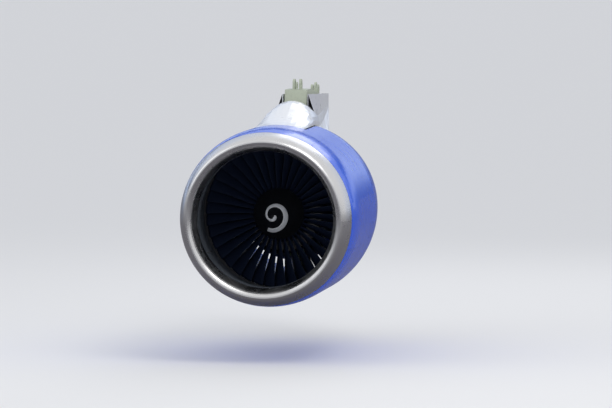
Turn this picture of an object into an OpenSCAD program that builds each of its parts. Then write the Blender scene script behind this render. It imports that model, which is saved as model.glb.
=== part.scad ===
/* [Nacelle outline] */
// radius of the foremost circle of the lip
highlight_r = 1205; // [1180:1:1230]
// radius of the inlet throat
throat_r = 1060; // [1030:1:1090]
// station of the throat behind the front of the lip
throat_s = 330; // [290:1:380]
// largest radius of the cowls
cowl_r = 1400; // [1385:1:1420]
// station where the cowls reach their largest radius
belly_s = 950; // [850:1:1050]
// station where the cowls begin to close in
taper_s = 2450; // [2400:1:2500]
// station of the fan nozzle exit
exit_s = 4250; // [4200:1:4320]
// outer radius of the fan nozzle lip
exit_r = 1128; // [1110:1:1140]
// thickness of the cowl skins
skin = 8; // [6:1:10]

/* [Inlet] */
// station of the joint behind the polished lip, outside
lip_joint_s = 300; // [270:1:330]
// station of the joint behind the polished lip, inside
lip_inner_s = 250; // [230:1:270]
// thickness of the lip sheet
lip_t = 5; // [4:0.5:6]
// station of the flange between inlet and fan case
attach_s = 1440; // [1420:1:1450]
// thickness of the sound-absorbing inner barrel
barrel_t = 26; // [20:1:32]
// thickness of the two ring bulkheads
bulkhead_t = 6; // [5:0.5:8]

/* [Fan] */
// number of fan blades
blade_count = 38; // [36:1:38]
// station of the rear edge of the spinner
spinner_s = 1560; // [1550:1:1580]
// length of the spinner
spinner_len = 600; // [560:1:620]
// radius of the spinner at its rear edge
spinner_r = 400; // [390:1:410]
// sheet thickness of the spinner
spinner_t = 6; // [5:0.5:8]
// radius of the fan blade tips
fan_r = 1180; // [1176:1:1182]
// running gap between the blade tips and the fan case
tip_gap = 6; // [4:0.5:8]
// chord of a fan blade at its root
root_chord = 200; // [190:1:210]
// chord of a fan blade at its tip
tip_chord = 262; // [240:1:280]
// setting angle of a blade at its root, from the engine axis
root_angle = 14; // [10:1:20]
// setting angle of a blade at its tip
tip_angle = 61; // [56:1:64]
// radius of the hub under the trailing edges of the blades
hub_tail_r = 452; // [445:1:460]
// width of the painted spiral on the spinner
spiral_w = 56; // [46:1:64]

/* [Fan case and frame] */
// wall thickness of the fan case
case_t = 22; // [18:1:26]
// wall thickness of the containment belt round the blades
belt_t = 58; // [48:1:66]
// height of the case flanges above the wall
flange_h = 52; // [44:1:60]
// thickness of one case flange
flange_t = 14; // [10:1:18]
// number of outlet guide vanes
vane_count = 80; // [72:4:80]
// chord of a guide vane along the axis
vane_chord = 140; // [120:1:150]
// station of the front edges of the guide vanes
vane_s = 2010; // [2000:1:2020]
// number of frame struts
strut_count = 12; // [10:2:12]
// station of the frame's rear face
frame_end_s = 2490; // [2480:1:2500]

/* [Fan duct] */
// station of the splitter lip
splitter_s = 1930; // [1920:1:1940]
// radius of the splitter lip
splitter_r = 655; // [645:1:665]
// largest radius of the core cowl
core_max_r = 860; // [840:1:870]
// station of that largest radius
core_max_s = 3200; // [3100:1:3300]
// radius at the rear end of the core cowl
core_end_r = 680; // [670:1:690]
// station of the rear end of the core cowl
core_end_s = 5000; // [4950:1:5050]
// thickness of the core cowl wall
core_wall = 16; // [12:1:20]

/* [Thrust reverser] */
// travel of the translating sleeves
sleeve_travel = 560; // [540:1:580]
// number of blocker doors on each half
door_count = 4; // [4]
// length of a blocker door
door_len = 320; // [300:1:325]
// half width of a blocker door at its hinge
door_w = 362; // [350:1:366]
// half width of a blocker door at its free end
door_tail_w = 296; // [280:1:300]
// thickness of a blocker door
door_t = 14; // [10:1:16]
// gap round a blocker door
door_gap = 3; // [2:0.5:4]
// number of cascade cells along the engine
cascade_rows = 10; // [8:1:12]
// number of cascade cells round each half
cascade_cells = 16; // [12:2:16]
// depth of the cascade baskets
cascade_t = 46; // [40:1:50]

/* [Core] */
// radius of the low pressure shaft
lp_shaft_r = 90; // [80:1:98]
// outside radius of the compressor case
compressor_r = 440; // [430:1:450]
// outside radius of the low pressure turbine case
turbine_r = 640; // [630:1:646]
// exit radius of the core nozzle
nozzle_r = 505; // [490:1:520]
// station of the core nozzle exit
nozzle_s = 5400; // [5350:1:5450]
// station of the tip of the exhaust plug
plug_s = 5880; // [5800:1:5950]
// running gap between rotors and their cases
rotor_gap = 4; // [3:0.5:6]

/* [Cowl hinges] */
// distance of the cowl hinge lines from the middle plane
hinge_x = 430; // [428:1:432]
// height of the fan cowl hinge lines above the engine axis
hinge_z = 1305; // [1303:1:1306]
// height of the reverser hinge lines above the engine axis
duct_hinge_z = 1262; // [1258:1:1264]
// distance of the fan cowls' upper edges from the middle plane
edge_x = 436; // [435:1:440]
// distance of the sleeves' upper edges from the middle plane
sleeve_edge_x = 440; // [440:1:446]
// radius of the hinge pins
pin_r = 9; // [8:0.5:10]
// outside radius of the hinge knuckles
knuckle_r = 16; // [14:0.5:17]

/* [Pylon] */
// half width of the pylon box
pylon_w = 180; // [170:1:186]
// station of the front spar lug
lug_s = 3420; // [3400:1:3440]
// height of the lug bores above the engine axis
lug_h = 1960; // [1930:1:1990]
// radius of the lug bores
lug_bore_r = 38; // [30:1:42]
// half width of the pylon fairing where it meets the cowls
fairing_w = 412; // [400:1:414]
// height of the pylon fairing above the engine axis
fairing_top = 1745; // [1700:1:1790]
// station where the pylon fairing starts
fairing_s = 1500; // [1490:1:1540]

/* [Display] */

/* [Hidden] */
ring_fn = 128;
small_fn = 48;
seam = 2;
fit = 0.3;
run = 0.05;
case_r = fan_r + tip_gap;
fan_s = spinner_s + 8;
tip_s = spinner_s - spinner_len;
pitch = 360 / blade_count;
slope = (hub_tail_r - spinner_r) / 250;

function blend(a, b, t) = a + (b - a) * t * t * (3 - 2 * t);
function nose(a, b, t) = b * sqrt(max(0, 1 - pow(1 - t / a, 2)));
// outer line of the nacelle
function outer_r(s) = s < belly_s ? highlight_r + nose(belly_s, cowl_r - highlight_r, s)
    : s < taper_s ? cowl_r
    : cowl_r - (cowl_r - exit_r) * pow((s - taper_s) / (exit_s - taper_s), 1.6);
// outer wall of the air path, from the lip to the fan nozzle
function duct_r(s) = s < throat_s ? highlight_r - nose(throat_s, highlight_r - throat_r, s)
    : s < attach_s ? blend(throat_r, case_r, (s - throat_s) / (attach_s - throat_s))
    : s < frame_end_s ? case_r
    : blend(case_r, exit_r - 12, (s - frame_end_s) / (exit_s - frame_end_s));
// inner wall of the fan duct: splitter, then core cowl
function core_r(s) = s < core_max_s
    ? blend(splitter_r, core_max_r, (s - splitter_s) / (core_max_s - splitter_s))
    : blend(core_max_r, core_end_r, (s - core_max_s) / (core_end_s - core_max_s));
function hub_r(s) = spinner_r + slope * (s - spinner_s);
function lerp(a, b, t) = a + (b - a) * t;
function steps(a, b, n) = [for (i = [0:n]) lerp(a, b, i / n)];

// turns a profile of [radius, station] points round the engine axis
module ring(points, fn = ring_fn) {
    rotate([-90, 0, 0]) rotate_extrude($fn = fn) polygon(points);
}

// the same over the half of the engine on the +X side
module half_ring(points) {
    rotate([0, -90, 0]) rotate([-90, 0, 0])
        rotate_extrude(angle = 180, $fn = ring_fn) polygon(points);
}

// turns its children from +X to the given angle above +X
module at(angle) {
    rotate([0, -angle, 0]) children();
}

// a disc or rod along the engine axis between two stations
module rod(r, s0, s1, fn = small_fn) {
    translate([0, s0, 0]) rotate([-90, 0, 0]) cylinder(r = r, h = s1 - s0, $fn = fn);
}

// a block between two corners
module block(a, b) {
    translate(a) cube(b - a);
}

// puts the engine into the frame of the part: origin in the front spar lug
module placed() {
    translate([0, -lug_s, -lug_h]) children();
}

module both_sides() {
    children();
    mirror([1, 0, 0]) children();
}

// a prism standing on the engine axis along +X, drawn in [station, across]
module spoke(r0, r1, points) {
    rotate([90, 0, 90]) translate([0, 0, r0]) linear_extrude(r1 - r0) polygon(points);
}

// faces of closed skins through sections of n points each, m sections a skin; from section
// twist_from on, the two flanks are split along matching diagonals, as a thin twisted skin needs
function skin_faces(n, m, first, twist_from) = concat(
    [[for (j = [0:n - 1]) first + j]],
    [[for (j = [n - 1:-1:0]) first + (m - 1) * n + j]],
    [for (i = [0:m - 2], j = [0:n - 1]) let (a = first + i * n + j, b = a + n,
        c = first + i * n + (j + 1) % n, d = c + n)
        each (j < n / 2 || i < twist_from ? [[a, b, d], [a, d, c]] : [[a, b, c], [b, d, c]])]);

module loft(sections) {
    n = len(sections[0]);
    polyhedron(points = [for (s = sections) each s], faces = skin_faces(n, len(sections), 0, 0),
        convexity = 6);
}

// the same skin repeated round the engine axis
module loft_ring(sections, count, twist_from) {
    n = len(sections[0]);
    m = len(sections);
    polyhedron(
        points = [for (i = [0:count - 1]) let (a = (i + 0.5) * 360 / count, c = cos(a), s = sin(a))
            for (row = sections, p = row) [p[0] * c - p[2] * s, p[1], p[0] * s + p[2] * c]],
        faces = [for (i = [0:count - 1]) each skin_faces(n, m, i * n * m, twist_from)], convexity = 10);
}

// inlet
cowl_s = attach_s + 44;
frame_s = 1996;
flange_r = case_r + case_t + flange_h;
lip_out_a = acos(1 - lip_joint_s / belly_s);
lip_in_a = acos(1 - lip_inner_s / throat_s);

function lip_out(a, t) = [highlight_r + (cowl_r - highlight_r - t) * sin(a),
    min(lip_joint_s, belly_s - (belly_s - t) * cos(a))];
function lip_in(a, t) = [highlight_r - (highlight_r - throat_r - t) * sin(a),
    min(lip_inner_s, throat_s - (throat_s - t) * cos(a))];

module inlet_lip() {
    color([0.78, 0.79, 0.8]) placed() ring(concat(
        [for (a = steps(lip_out_a, 0, 9)) lip_out(a, 0)],
        [for (i = [1:9]) lip_in(lip_in_a * i / 9, 0)],
        [for (i = [9:-1:1]) lip_in(lip_in_a * i / 9, lip_t)],
        [for (a = steps(0, lip_out_a, 9)) lip_out(a, lip_t)]));
}

module inlet_outer_barrel() {
    s = steps(lip_joint_s, belly_s, 7);
    color([0.1, 0.33, 0.78]) placed() ring(concat(
        [for (a = s) [outer_r(a), a]], [[cowl_r, cowl_s - seam], [cowl_r - skin, cowl_s - seam]],
        [for (i = [len(s) - 1:-1:0]) [outer_r(s[i]) - skin, s[i]]]));
}

module inlet_inner_barrel() {
    s = steps(lip_inner_s, attach_s, 12);
    color([0.62, 0.64, 0.67]) placed() ring(concat(
        [for (a = s) [duct_r(a), a]],
        [[flange_r, attach_s], [flange_r, attach_s - flange_t],
         [duct_r(attach_s - flange_t) + barrel_t, attach_s - flange_t]],
        [for (i = [len(s) - 2:-1:0]) [duct_r(s[i]) + barrel_t, s[i]]]));
}

// ring plates that tie the lip and the two barrels together
module inlet_bulkheads() {
    color([0.7, 0.72, 0.6]) placed() for (s = [lip_joint_s + 4, attach_s - 80]) {
        out_r = outer_r(s) - skin - fit;
        in_r = duct_r(s + bulkhead_t) + barrel_t + 2;
        ring([[in_r, s], [out_r, s], [out_r, s + 34], [out_r - bulkhead_t, s + 34],
            [out_r - bulkhead_t, s + bulkhead_t], [in_r + bulkhead_t, s + bulkhead_t],
            [in_r + bulkhead_t, s + 34], [in_r, s + 34]]);
    }
}

// fan
blade_mid = fan_s + 116;
root_bottom_r = 330;
root_w = 17;
neck_w = 9;

module spinner() {
    tail = [spinner_r, spinner_s];
    k = spinner_r / spinner_len;
    color([0.07, 0.08, 0.1]) placed() ring([
        [0, tip_s], [12, tip_s + 4], [20, tip_s + 20 / k], tail, [root_bottom_r + 12, spinner_s],
        [root_bottom_r + 12, spinner_s - 10], [spinner_r - 14, spinner_s - 10],
        [20, tip_s + 26 / k + 4], [0, tip_s + 26 / k + 4]]);
}

// painted band that winds outward round the cone
spiral_turn = 392;
spiral_n = 72;
spiral_t = 1.2;
spiral_start = -90;
function spiral_r(u) = u < 0.23 ? lerp(60, 116, u / 0.23) : u < 0.46 ? lerp(116, 163, (u - 0.23) / 0.23)
    : lerp(163, 262, (u - 0.46) / 0.54);
function cone_point(r, a, lift) = let (k = spinner_r / spinner_len, q = r + lift)
    [q * cos(a), tip_s + r / k, q * sin(a)];

module spinner_spiral() {
    k = spinner_r / spinner_len;
    half = spiral_w / 2 * sin(atan(k));
    color([0.85, 0.86, 0.88]) placed() loft([for (i = [0:spiral_n]) let (
        u = i / spiral_n, a = spiral_start - spiral_turn * u, r = spiral_r(u),
        w = half * (i == 0 || i == spiral_n ? 0.45 : i == 1 || i == spiral_n - 1 ? 0.85 : 1),
        r0 = r - w, r1 = r + w)
        [cone_point(r0, a, 0.5), cone_point(r1, a, 0.5),
         cone_point(r1, a, 0.5 + spiral_t), cone_point(r0, a, 0.5 + spiral_t)]]);
}

// one blade: dovetail, neck, platform and twisted aerofoil, along +X
cut = [0, 0.3, 0.7, 1];
function root_row(r, w) = concat(
    [for (x = cut) [sqrt(r * r - w * w), lerp(fan_s, fan_s + 232, x), -w]],
    [for (i = [3:-1:0]) [sqrt(r * r - w * w), lerp(fan_s, fan_s + 232, cut[i]), w]]);
function deck_row(drop) = [for (i = [0:7]) let (
    s = lerp(fan_s, fan_s + 232, cut[i < 4 ? i : 7 - i]), r = hub_r(s) - drop,
    w = r * sin(pitch / 2) - 0.5) [sqrt(r * r - w * w), s, i < 4 ? -w : w]];
function foil_row(r) = [for (i = [0:7]) let (
    x = cut[i < 4 ? i : 7 - i], h = (r - spinner_r) / (fan_r - spinner_r),
    chord = h < 0.55 ? lerp(root_chord, 190, h / 0.55) : lerp(190, tip_chord, (h - 0.55) / 0.45),
    g = root_angle + (tip_angle - root_angle) * pow(h, 0.8), thick = lerp(17, 6, h),
    th = thick * [0.18, 0.5, 0.4, 0.12][i < 4 ? i : 7 - i],
    n = lerp(0.1, 0.03, h) * 4 * x * (1 - x) * chord + (i < 4 ? th : -th),
    u = (x - 0.5) * chord, s = blade_mid + u * cos(g) - n * sin(g),
    z = -(u * sin(g) + n * cos(g)), q = r < 0 ? hub_r(s) + 0.5 : r)
    [sqrt(q * q - z * z), s, z]];
function foil_foot() = [for (p = foil_row(spinner_r + 20)) let (q = hub_r(p[1]) + 0.5)
    [sqrt(q * q - p[2] * p[2]), p[1], p[2]]];

module fan_blades() {
    sections = concat([root_row(root_bottom_r, root_w), root_row(root_bottom_r + 12, root_w),
        root_row(root_bottom_r + 24, neck_w), root_row(root_bottom_r + 50, neck_w),
        deck_row(14), deck_row(0), foil_foot()],
        [for (r = steps(540, fan_r, 6)) foil_row(r)]);
    color([0.13, 0.15, 0.19]) placed() loft_ring(sections, blade_count, 6);
}

rim_r = root_bottom_r + 36;
drum_r = 468;
module fan_disk() {
    slack = 0.4;
    color([0.5, 0.51, 0.53]) placed() difference() {
        ring([[lp_shaft_r + fit, spinner_s + 60], [150, spinner_s + 40], [190, spinner_s + 90],
            [280, spinner_s + 90], [300, spinner_s], [rim_r, spinner_s], [rim_r, fan_s + 232],
            [430, fan_s + 262], [drum_r, fan_s + 290], [drum_r, fan_s + 306],
            [drum_r - 40, fan_s + 306], [400, fan_s + 276], [300, fan_s + 250], [280, spinner_s + 150],
            [190, spinner_s + 150], [150, spinner_s + 200], [lp_shaft_r + fit, spinner_s + 200]]);
        for (i = [0:blade_count - 1]) at((i + 0.5) * pitch)
            translate([0, spinner_s - 1, 0]) rotate([-90, 0, 0]) linear_extrude(fan_s + 234 - spinner_s)
                polygon([[root_bottom_r - 4, root_w + slack], [root_bottom_r + 12.5, root_w + slack],
                    [root_bottom_r + 24.5, neck_w + slack], [rim_r + 20, neck_w + slack],
                    [rim_r + 20, -neck_w - slack], [root_bottom_r + 24.5, -neck_w - slack],
                    [root_bottom_r + 12.5, -root_w - slack], [root_bottom_r - 4, -root_w - slack]]);
    }
}

// fan case, frame and guide vanes
vane_end_s = vane_s + vane_chord;
band_s = vane_end_s + 12;
core_duct_r = 606;
hub_ring_r = 440;
bearing_r = 190;

module fan_case() {
    o = case_r + case_t;
    belt = case_r + belt_t;
    color([0.55, 0.57, 0.55]) placed() ring([
        [case_r, attach_s], [flange_r, attach_s], [flange_r, attach_s + flange_t],
        [o, attach_s + flange_t], [o, fan_s - 40], [belt, fan_s - 10], [belt, fan_s + 270],
        [o, fan_s + 300], [o, fan_s + 345], [o + 26, fan_s + 345], [o + 26, fan_s + 357],
        [o, fan_s + 357], [o, frame_s - flange_t], [flange_r, frame_s - flange_t],
        [flange_r, frame_s], [case_r, frame_s]]);
}

module fan_frame() {
    o = case_r + case_t;
    e = frame_end_s;
    strut_s = 2250;
    strut_c = 200;
    color([0.6, 0.61, 0.62]) placed() {
        ring([[case_r, frame_s], [flange_r, frame_s], [flange_r, frame_s + flange_t],
            [o, frame_s + flange_t], [o, strut_s - 20], [o + 34, strut_s - 20], [o + 34, strut_s - 6],
            [o, strut_s - 6], [o, strut_s + strut_c], [o + 34, strut_s + strut_c],
            [o + 34, e], [case_r, e]]);
        ring(concat([for (s = steps(band_s, e, 5)) [core_r(s), s]],
            [for (s = steps(e, band_s, 5)) [core_r(s) - 14, s]]));
        ring([[core_duct_r, band_s], [core_duct_r + 12, band_s], [core_duct_r - 20, e],
            [core_duct_r - 32, e]]);
        ring([[hub_ring_r - 24, band_s + 10], [hub_ring_r, band_s + 10], [hub_ring_r - 30, e],
            [bearing_r, e], [bearing_r, e - 30], [hub_ring_r - 70, e - 16], [hub_ring_r - 50, strut_s + 60],
            [bearing_r, front_row_s + 54], [bearing_r, front_row_s - 36],
                [bearing_r + 20, front_row_s - 36],
            [bearing_r + 20, front_row_s + 36], [hub_ring_r - 50, strut_s + 22]]);
        for (i = [0:strut_count - 1]) at((i + 0.5) * 360 / strut_count)
            spoke(hub_ring_r - 38, case_r + 6, [[strut_s, 0], [strut_s + 14, 9], [strut_s + 60, 18],
                [strut_s + 120, 17], [strut_s + strut_c, 5], [strut_s + strut_c, -5],
                [strut_s + 120, -17], [strut_s + 60, -18], [strut_s + 14, -9]]);
    }
}

// straight cambered vanes trimmed to the two walls of the duct
module outlet_guide_vanes() {
    c = vane_chord;
    foil = concat([for (x = [0, 0.08, 0.3, 0.6, 0.85, 1]) [vane_s + x * c, 46 * pow(1 - x, 2)
        + 5 * sin(180 * sqrt(x)) + 0.8]],
        [for (x = [1, 0.85, 0.6, 0.3, 0.08, 0]) [vane_s + x * c, 46 * pow(1 - x, 2)
            - 5 * sin(180 * sqrt(x)) - 0.8]]);
    s = steps(vane_s - 6, vane_end_s + 6, 3);
    color([0.56, 0.58, 0.6]) placed() intersection() {
        ring(concat([for (a = s) [core_r(a) + fit, a]],
            [[case_r - fit, vane_end_s + 6], [case_r - fit, vane_s - 6]]));
        union() for (i = [0:vane_count - 1]) at(i * 360 / vane_count)
            spoke(splitter_r - 10, case_r + 4, foil);
    }
}

module splitter_fairing() {
    e = band_s;
    s = steps(splitter_s, e, 6);
    t = 10;
    color([0.5, 0.52, 0.54]) placed() ring(concat(
        [[splitter_r - 6, splitter_s - 6]], [for (a = s) [core_r(a), a]],
        [[core_r(e) - t, e], [core_r(splitter_s + 110) - t, splitter_s + 110],
         [core_duct_r + 12 + t, splitter_s + 150], [core_duct_r + 12 + t, e - 2],
         [core_duct_r + 12, e - 2], [core_duct_r + 12, splitter_s + 140], [splitter_r - 16, splitter_s]]));
}

// core, front to rear
stage_s = 1962;
stage_step = 44;
module booster_case() {
    end = band_s;
    color([0.56, 0.55, 0.52]) placed() {
        ring([[core_duct_r - 4, splitter_s + 18], [core_duct_r + 11, splitter_s + 18],
            [core_duct_r + 11, end], [core_duct_r - 2, end], [core_duct_r - 4, end - 4]]);
        for (i = [0:3]) ring([[drum_r + rotor_gap, stage_s + 24 + i * stage_step],
            [core_duct_r, stage_s + 22 + i * stage_step], [core_duct_r, stage_s + 40 + i * stage_step],
            [drum_r + rotor_gap, stage_s + 38 + i * stage_step]]);
    }
}

module booster_rotor() {
    color([0.5, 0.5, 0.52]) placed() {
        ring([[drum_r - 26, fan_s + 306], [drum_r, fan_s + 306], [drum_r, 2140], [drum_r - 14, 2140],
            [drum_r - 14, fan_s + 320], [drum_r - 26, fan_s + 320]]);
        for (i = [0:3]) ring([[drum_r - 4, stage_s + i * stage_step],
            [core_duct_r - 4 - rotor_gap, stage_s + 2 + i * stage_step],
            [core_duct_r - 4 - rotor_gap, stage_s + 17 + i * stage_step],
                [drum_r - 4, stage_s + 18 + i * stage_step]]);
    }
}

hpc_s = frame_end_s + 20;
hpc_end_s = 3330;
burner_end_s = 3840;
hpt_end_s = 4080;
lpt_end_s = 4600;
trf_end_s = 4800;
hp_tube_r = lp_shaft_r + 60;
gas_r = 380;

function hpc_tip_r(s) = lerp(gas_r + 10, 300, pow((s - hpc_s) / (hpc_end_s - hpc_s), 0.8));

module lp_shaft() {
    r = lp_shaft_r;
    color([0.6, 0.6, 0.58]) placed() ring([
        [r - 26, spinner_s + 30], [r, spinner_s + 30], [r, lpt_end_s + 130],
        [r - 26, lpt_end_s + 130]]);
}

// inner races with their rows of balls and rollers, on the low pressure shaft
front_row_s = 2136;
rear_row_s = lpt_end_s + 90;
ball_r = 17;
module lp_bearing_rollers() {
    race_r = lp_shaft_r + fit;
    row_r = bearing_r - 20 - ball_r - run;
    n = 20;
    color([0.75, 0.75, 0.77]) placed() {
        difference() {
            ring([[race_r, front_row_s - 30], [row_r - 4, front_row_s - 30], [row_r - 4, front_row_s + 30],
                [race_r, front_row_s + 30]]);
            rotate([-90, 0, 0]) translate([0, 0, front_row_s]) rotate_extrude($fn = 64)
                translate([row_r, 0]) circle(r = ball_r + run, $fn = 32);
        }
        for (i = [0:n - 1]) at(i * 360 / n) translate([row_r, front_row_s, 0]) sphere(r = ball_r, $fn = 20);
        ring([[race_r, rear_row_s - 20], [row_r - ball_r - run, rear_row_s - 20],
            [row_r - ball_r - run, rear_row_s + 20], [race_r, rear_row_s + 20]]);
        for (i = [0:n - 1]) at(i * 360 / n) translate([row_r, 0, 0])
            rod(ball_r, rear_row_s - 15, rear_row_s + 15, 20);
    }
}

module bearing_outer_rings() {
    row_r = bearing_r - 20 - ball_r - run;
    inner = row_r + ball_r + run;
    color([0.7, 0.7, 0.72]) placed() {
        difference() {
            ring([[row_r + 5, front_row_s - 22], [bearing_r - fit, front_row_s - 22],
                [bearing_r - fit, front_row_s + 22], [row_r + 5, front_row_s + 22]]);
            rotate([-90, 0, 0]) translate([0, 0, front_row_s]) rotate_extrude($fn = 64)
                translate([row_r, 0]) circle(r = ball_r + run, $fn = 32);
        }
        ring([[inner, rear_row_s - 22], [bearing_r - fit, rear_row_s - 22],
            [bearing_r - fit, rear_row_s + 22], [inner, rear_row_s + 22]]);
        ring([[hp_tube_r + 8, frame_end_s - 28], [bearing_r - fit, frame_end_s - 28],
            [bearing_r - fit, frame_end_s - 2], [hp_tube_r + 8, frame_end_s - 2]]);
    }
}

module compressor_case() {
    o = compressor_r;
    n = 9;
    step = (hpc_end_s - hpc_s - 60) / n;
    color([0.55, 0.54, 0.5]) placed() {
        ring([[o - 20, frame_end_s], [o + 30, frame_end_s], [o + 30, frame_end_s + 12],
            [o, frame_end_s + 12],
            [o, 2900], [o + 18, 2900], [o + 18, 2924], [o, 2924], [o, hpc_end_s - 12],
                [o + 30, hpc_end_s - 12],
            [o + 30, hpc_end_s], [o - 16, hpc_end_s], [o - 16, hpc_s + 30]]);
        for (i = [0:n - 1]) let (s = hpc_s + 62 + i * step) ring([
            [hpc_tip_r(s) - 96 + i * 6, s], [o - 10, s - 6], [o - 10, s + 30],
                [hpc_tip_r(s) - 96 + i * 6, s + 24]]);
    }
}

module high_compressor_rotor() {
    n = 9;
    step = (hpc_end_s - hpc_s - 60) / n;
    color([0.52, 0.52, 0.55]) placed() {
        ring([[hp_tube_r - 40, frame_end_s - 32], [hp_tube_r + 8 - run, frame_end_s - 32],
            [hp_tube_r + 8 - run, frame_end_s + 4],
            [hpc_tip_r(hpc_s) - 120, hpc_s + 20], [hpc_tip_r(hpc_s) - 112, hpc_s + 30],
            [170, hpc_end_s - 20], [hp_tube_r, hpc_end_s], [hp_tube_r, hpt_end_s - 190],
            [hp_tube_r - 40, hpt_end_s - 190]]);
        for (i = [0:n - 1]) let (s = hpc_s + 26 + i * step) ring([[160, s], [hpc_tip_r(s), s],
            [hpc_tip_r(s), s + 22], [160, s + 22]]);
    }
}

// a ring over part of a turn, from the lower to the higher angle above +X
module sector(points, low, high) {
    at(high) rotate([-90, 0, 0]) rotate_extrude(angle = high - low, $fn = ring_fn) polygon(points);
}

case_hot_r = 500;
injector_count = 24;
injector_r = 360;
stem_r = 12;
liner_s = 3480;
module combustion_case() {
    o = case_hot_r;
    color([0.52, 0.5, 0.46]) placed() difference() {
        ring([[compressor_r - 16, hpc_end_s], [compressor_r + 30, hpc_end_s],
            [compressor_r + 30, hpc_end_s + 12],
            [compressor_r + 6, hpc_end_s + 12], [o, hpc_end_s + 90], [o, burner_end_s - 12],
            [o + 28, burner_end_s - 12], [o + 28, burner_end_s], [o - 14, burner_end_s],
            [o - 14, hpc_end_s + 92]]);
        for (i = [0:injector_count - 1]) at(i * 360 / injector_count) translate([0, liner_s - 40, 0])
            rotate([0, 90, 0]) translate([0, 0, o - 60]) cylinder(r = stem_r + fit, h = 120, $fn =
                small_fn);
    }
}

module fuel_nozzles() {
    color([0.7, 0.66, 0.55]) placed() for (i = [0:injector_count - 1]) at(i * 360 / injector_count) {
        translate([0, liner_s - 40, 0]) rotate([0, 90, 0]) {
            translate([0, 0, injector_r - stem_r]) cylinder(r = stem_r, h = case_hot_r + 20 - injector_r,
                $fn = small_fn);
            translate([0, 0, case_hot_r + 2]) cylinder(r = 24, h = 10, $fn = small_fn);
        }
        translate([injector_r, 0, 0]) rod(stem_r - 2, liner_s - 40, liner_s + 14);
    }
}

module combustor_liner() {
    color([0.6, 0.54, 0.45]) placed() difference() {
        ring([[300, burner_end_s - fit], [306, burner_end_s - fit], [306, liner_s + 30], [316, liner_s + 8],
            [410, liner_s + 8], [426, liner_s + 30], [426, burner_end_s - fit], [432, burner_end_s - fit],
            [432, liner_s + 28], [414, liner_s], [312, liner_s], [300, liner_s + 28]]);
        for (i = [0:injector_count - 1]) at(i * 360 / injector_count) translate([injector_r, 0, 0])
            rod(stem_r - 2 + fit, liner_s - 10, liner_s + 30);
    }
}

hot_drum_r = 400;
lpt_s = 4132;
lpt_step = 92;
function lpt_wall(s) = lerp(520, turbine_r - 30, (s - 4120) / (lpt_end_s - 4120));

module turbine_case() {
    f = case_hot_r;
    color([0.5, 0.47, 0.42]) placed() {
        ring([[300, burner_end_s], [f + 28, burner_end_s], [f + 28, burner_end_s + 12],
            [f - 10, burner_end_s + 12],
            [f - 24, 4060], [552, 4112], [turbine_r, lpt_end_s - 18], [turbine_r + 24, lpt_end_s - 12],
            [turbine_r + 24, lpt_end_s], [turbine_r - 30, lpt_end_s], [520, 4120], [444, 4062],
            [440, burner_end_s + 34], [300, burner_end_s + 34]]);
        ring([[250, 3948], [446, 3948], [446, 3972], [250, 3972]]);
        for (i = [0:3]) let (s = lpt_s + 48 + i * lpt_step) ring([[hot_drum_r + rotor_gap, s],
            [lpt_wall(s) + 6, s], [lpt_wall(s + 30) + 6, s + 30], [hot_drum_r + rotor_gap, s + 30]]);
    }
}

module high_turbine_rotor() {
    r = hp_tube_r;
    s = hpt_end_s - 190;
    color([0.5, 0.48, 0.46]) placed() {
        ring([[r - 40, s], [r + 30, s], [436, s + 4], [436, s + 42], [240, s + 46], [240, s + 94],
            [436, s + 98], [436, s + 136], [r + 30, s + 140], [r, s + 176], [r - 40, s + 176]]);
    }
}

module lp_turbine_rotor() {
    r = lp_shaft_r + fit;
    d = hot_drum_r;
    color([0.48, 0.47, 0.46]) placed() {
        ring([[d - 22, lpt_s - 4], [d, lpt_s - 4], [d, lpt_s + 4 * lpt_step + 40],
            [d - 22, lpt_s + 4 * lpt_step + 40],
            [d - 22, 4400], [150, 4480], [140, 4520], [r, 4520], [r, 4380], [140, 4380], [160, 4430],
                [d - 22, 4360]]);
        for (i = [0:4]) let (s = lpt_s + i * lpt_step) ring([[d - 6, s],
            [lpt_wall(s) - rotor_gap, s], [lpt_wall(s + 36) - rotor_gap, s + 36], [d - 6, s + 36]]);
    }
}

trf_r = turbine_r - 30;
trf_hub_r = 330;
module turbine_rear_frame() {
    s = lpt_end_s;
    e = trf_end_s;
    color([0.55, 0.53, 0.5]) placed() {
        ring([[trf_r, s], [turbine_r + 24, s], [turbine_r + 24, s + 12], [trf_r + 14, s + 12],
            [trf_r + 12, e - 12],
            [trf_r + 34, e - 12], [trf_r + 34, e], [trf_r, e]]);
        ring([[trf_hub_r - 16, s + 20], [trf_hub_r, s + 20], [trf_hub_r, e], [trf_hub_r - 40, e],
            [trf_hub_r - 40, e - 12], [trf_hub_r - 16, e - 12], [trf_hub_r - 16, s + 120],
                [bearing_r + 20, rear_row_s + 26],
            [bearing_r, rear_row_s + 26], [bearing_r, rear_row_s - 26], [bearing_r + 20, rear_row_s - 26],
            [trf_hub_r - 16, s + 96]]);
        for (i = [0:11]) at((i + 0.5) * 30) spoke(trf_hub_r - 6, trf_r + 5, [[s + 40, 0], [s + 52, 8],
            [s + 100, 11], [s + 170, 3], [s + 170, -3], [s + 100, -11], [s + 52, -8]]);
    }
}

module primary_nozzle() {
    s0 = core_end_s + 3;
    color([0.42, 0.4, 0.38]) placed() ring(concat(
        [for (t = steps(0, 1, 5)) [lerp(core_end_r, nozzle_r, pow(t, 1.2)), lerp(s0, nozzle_s, t)]],
        [for (t = steps(1, 0, 6)) [blend(trf_r, nozzle_r - 5, t), lerp(trf_end_s, nozzle_s, t)]],
        [[trf_r + 34, trf_end_s], [trf_r + 34, trf_end_s + 12], [trf_r + 8, trf_end_s + 12],
         [lerp(trf_r, nozzle_r, 0.3) + 16, s0 + 60], [core_end_r - 14, s0 + 60], [core_end_r - 14, s0]]));
}

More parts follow.
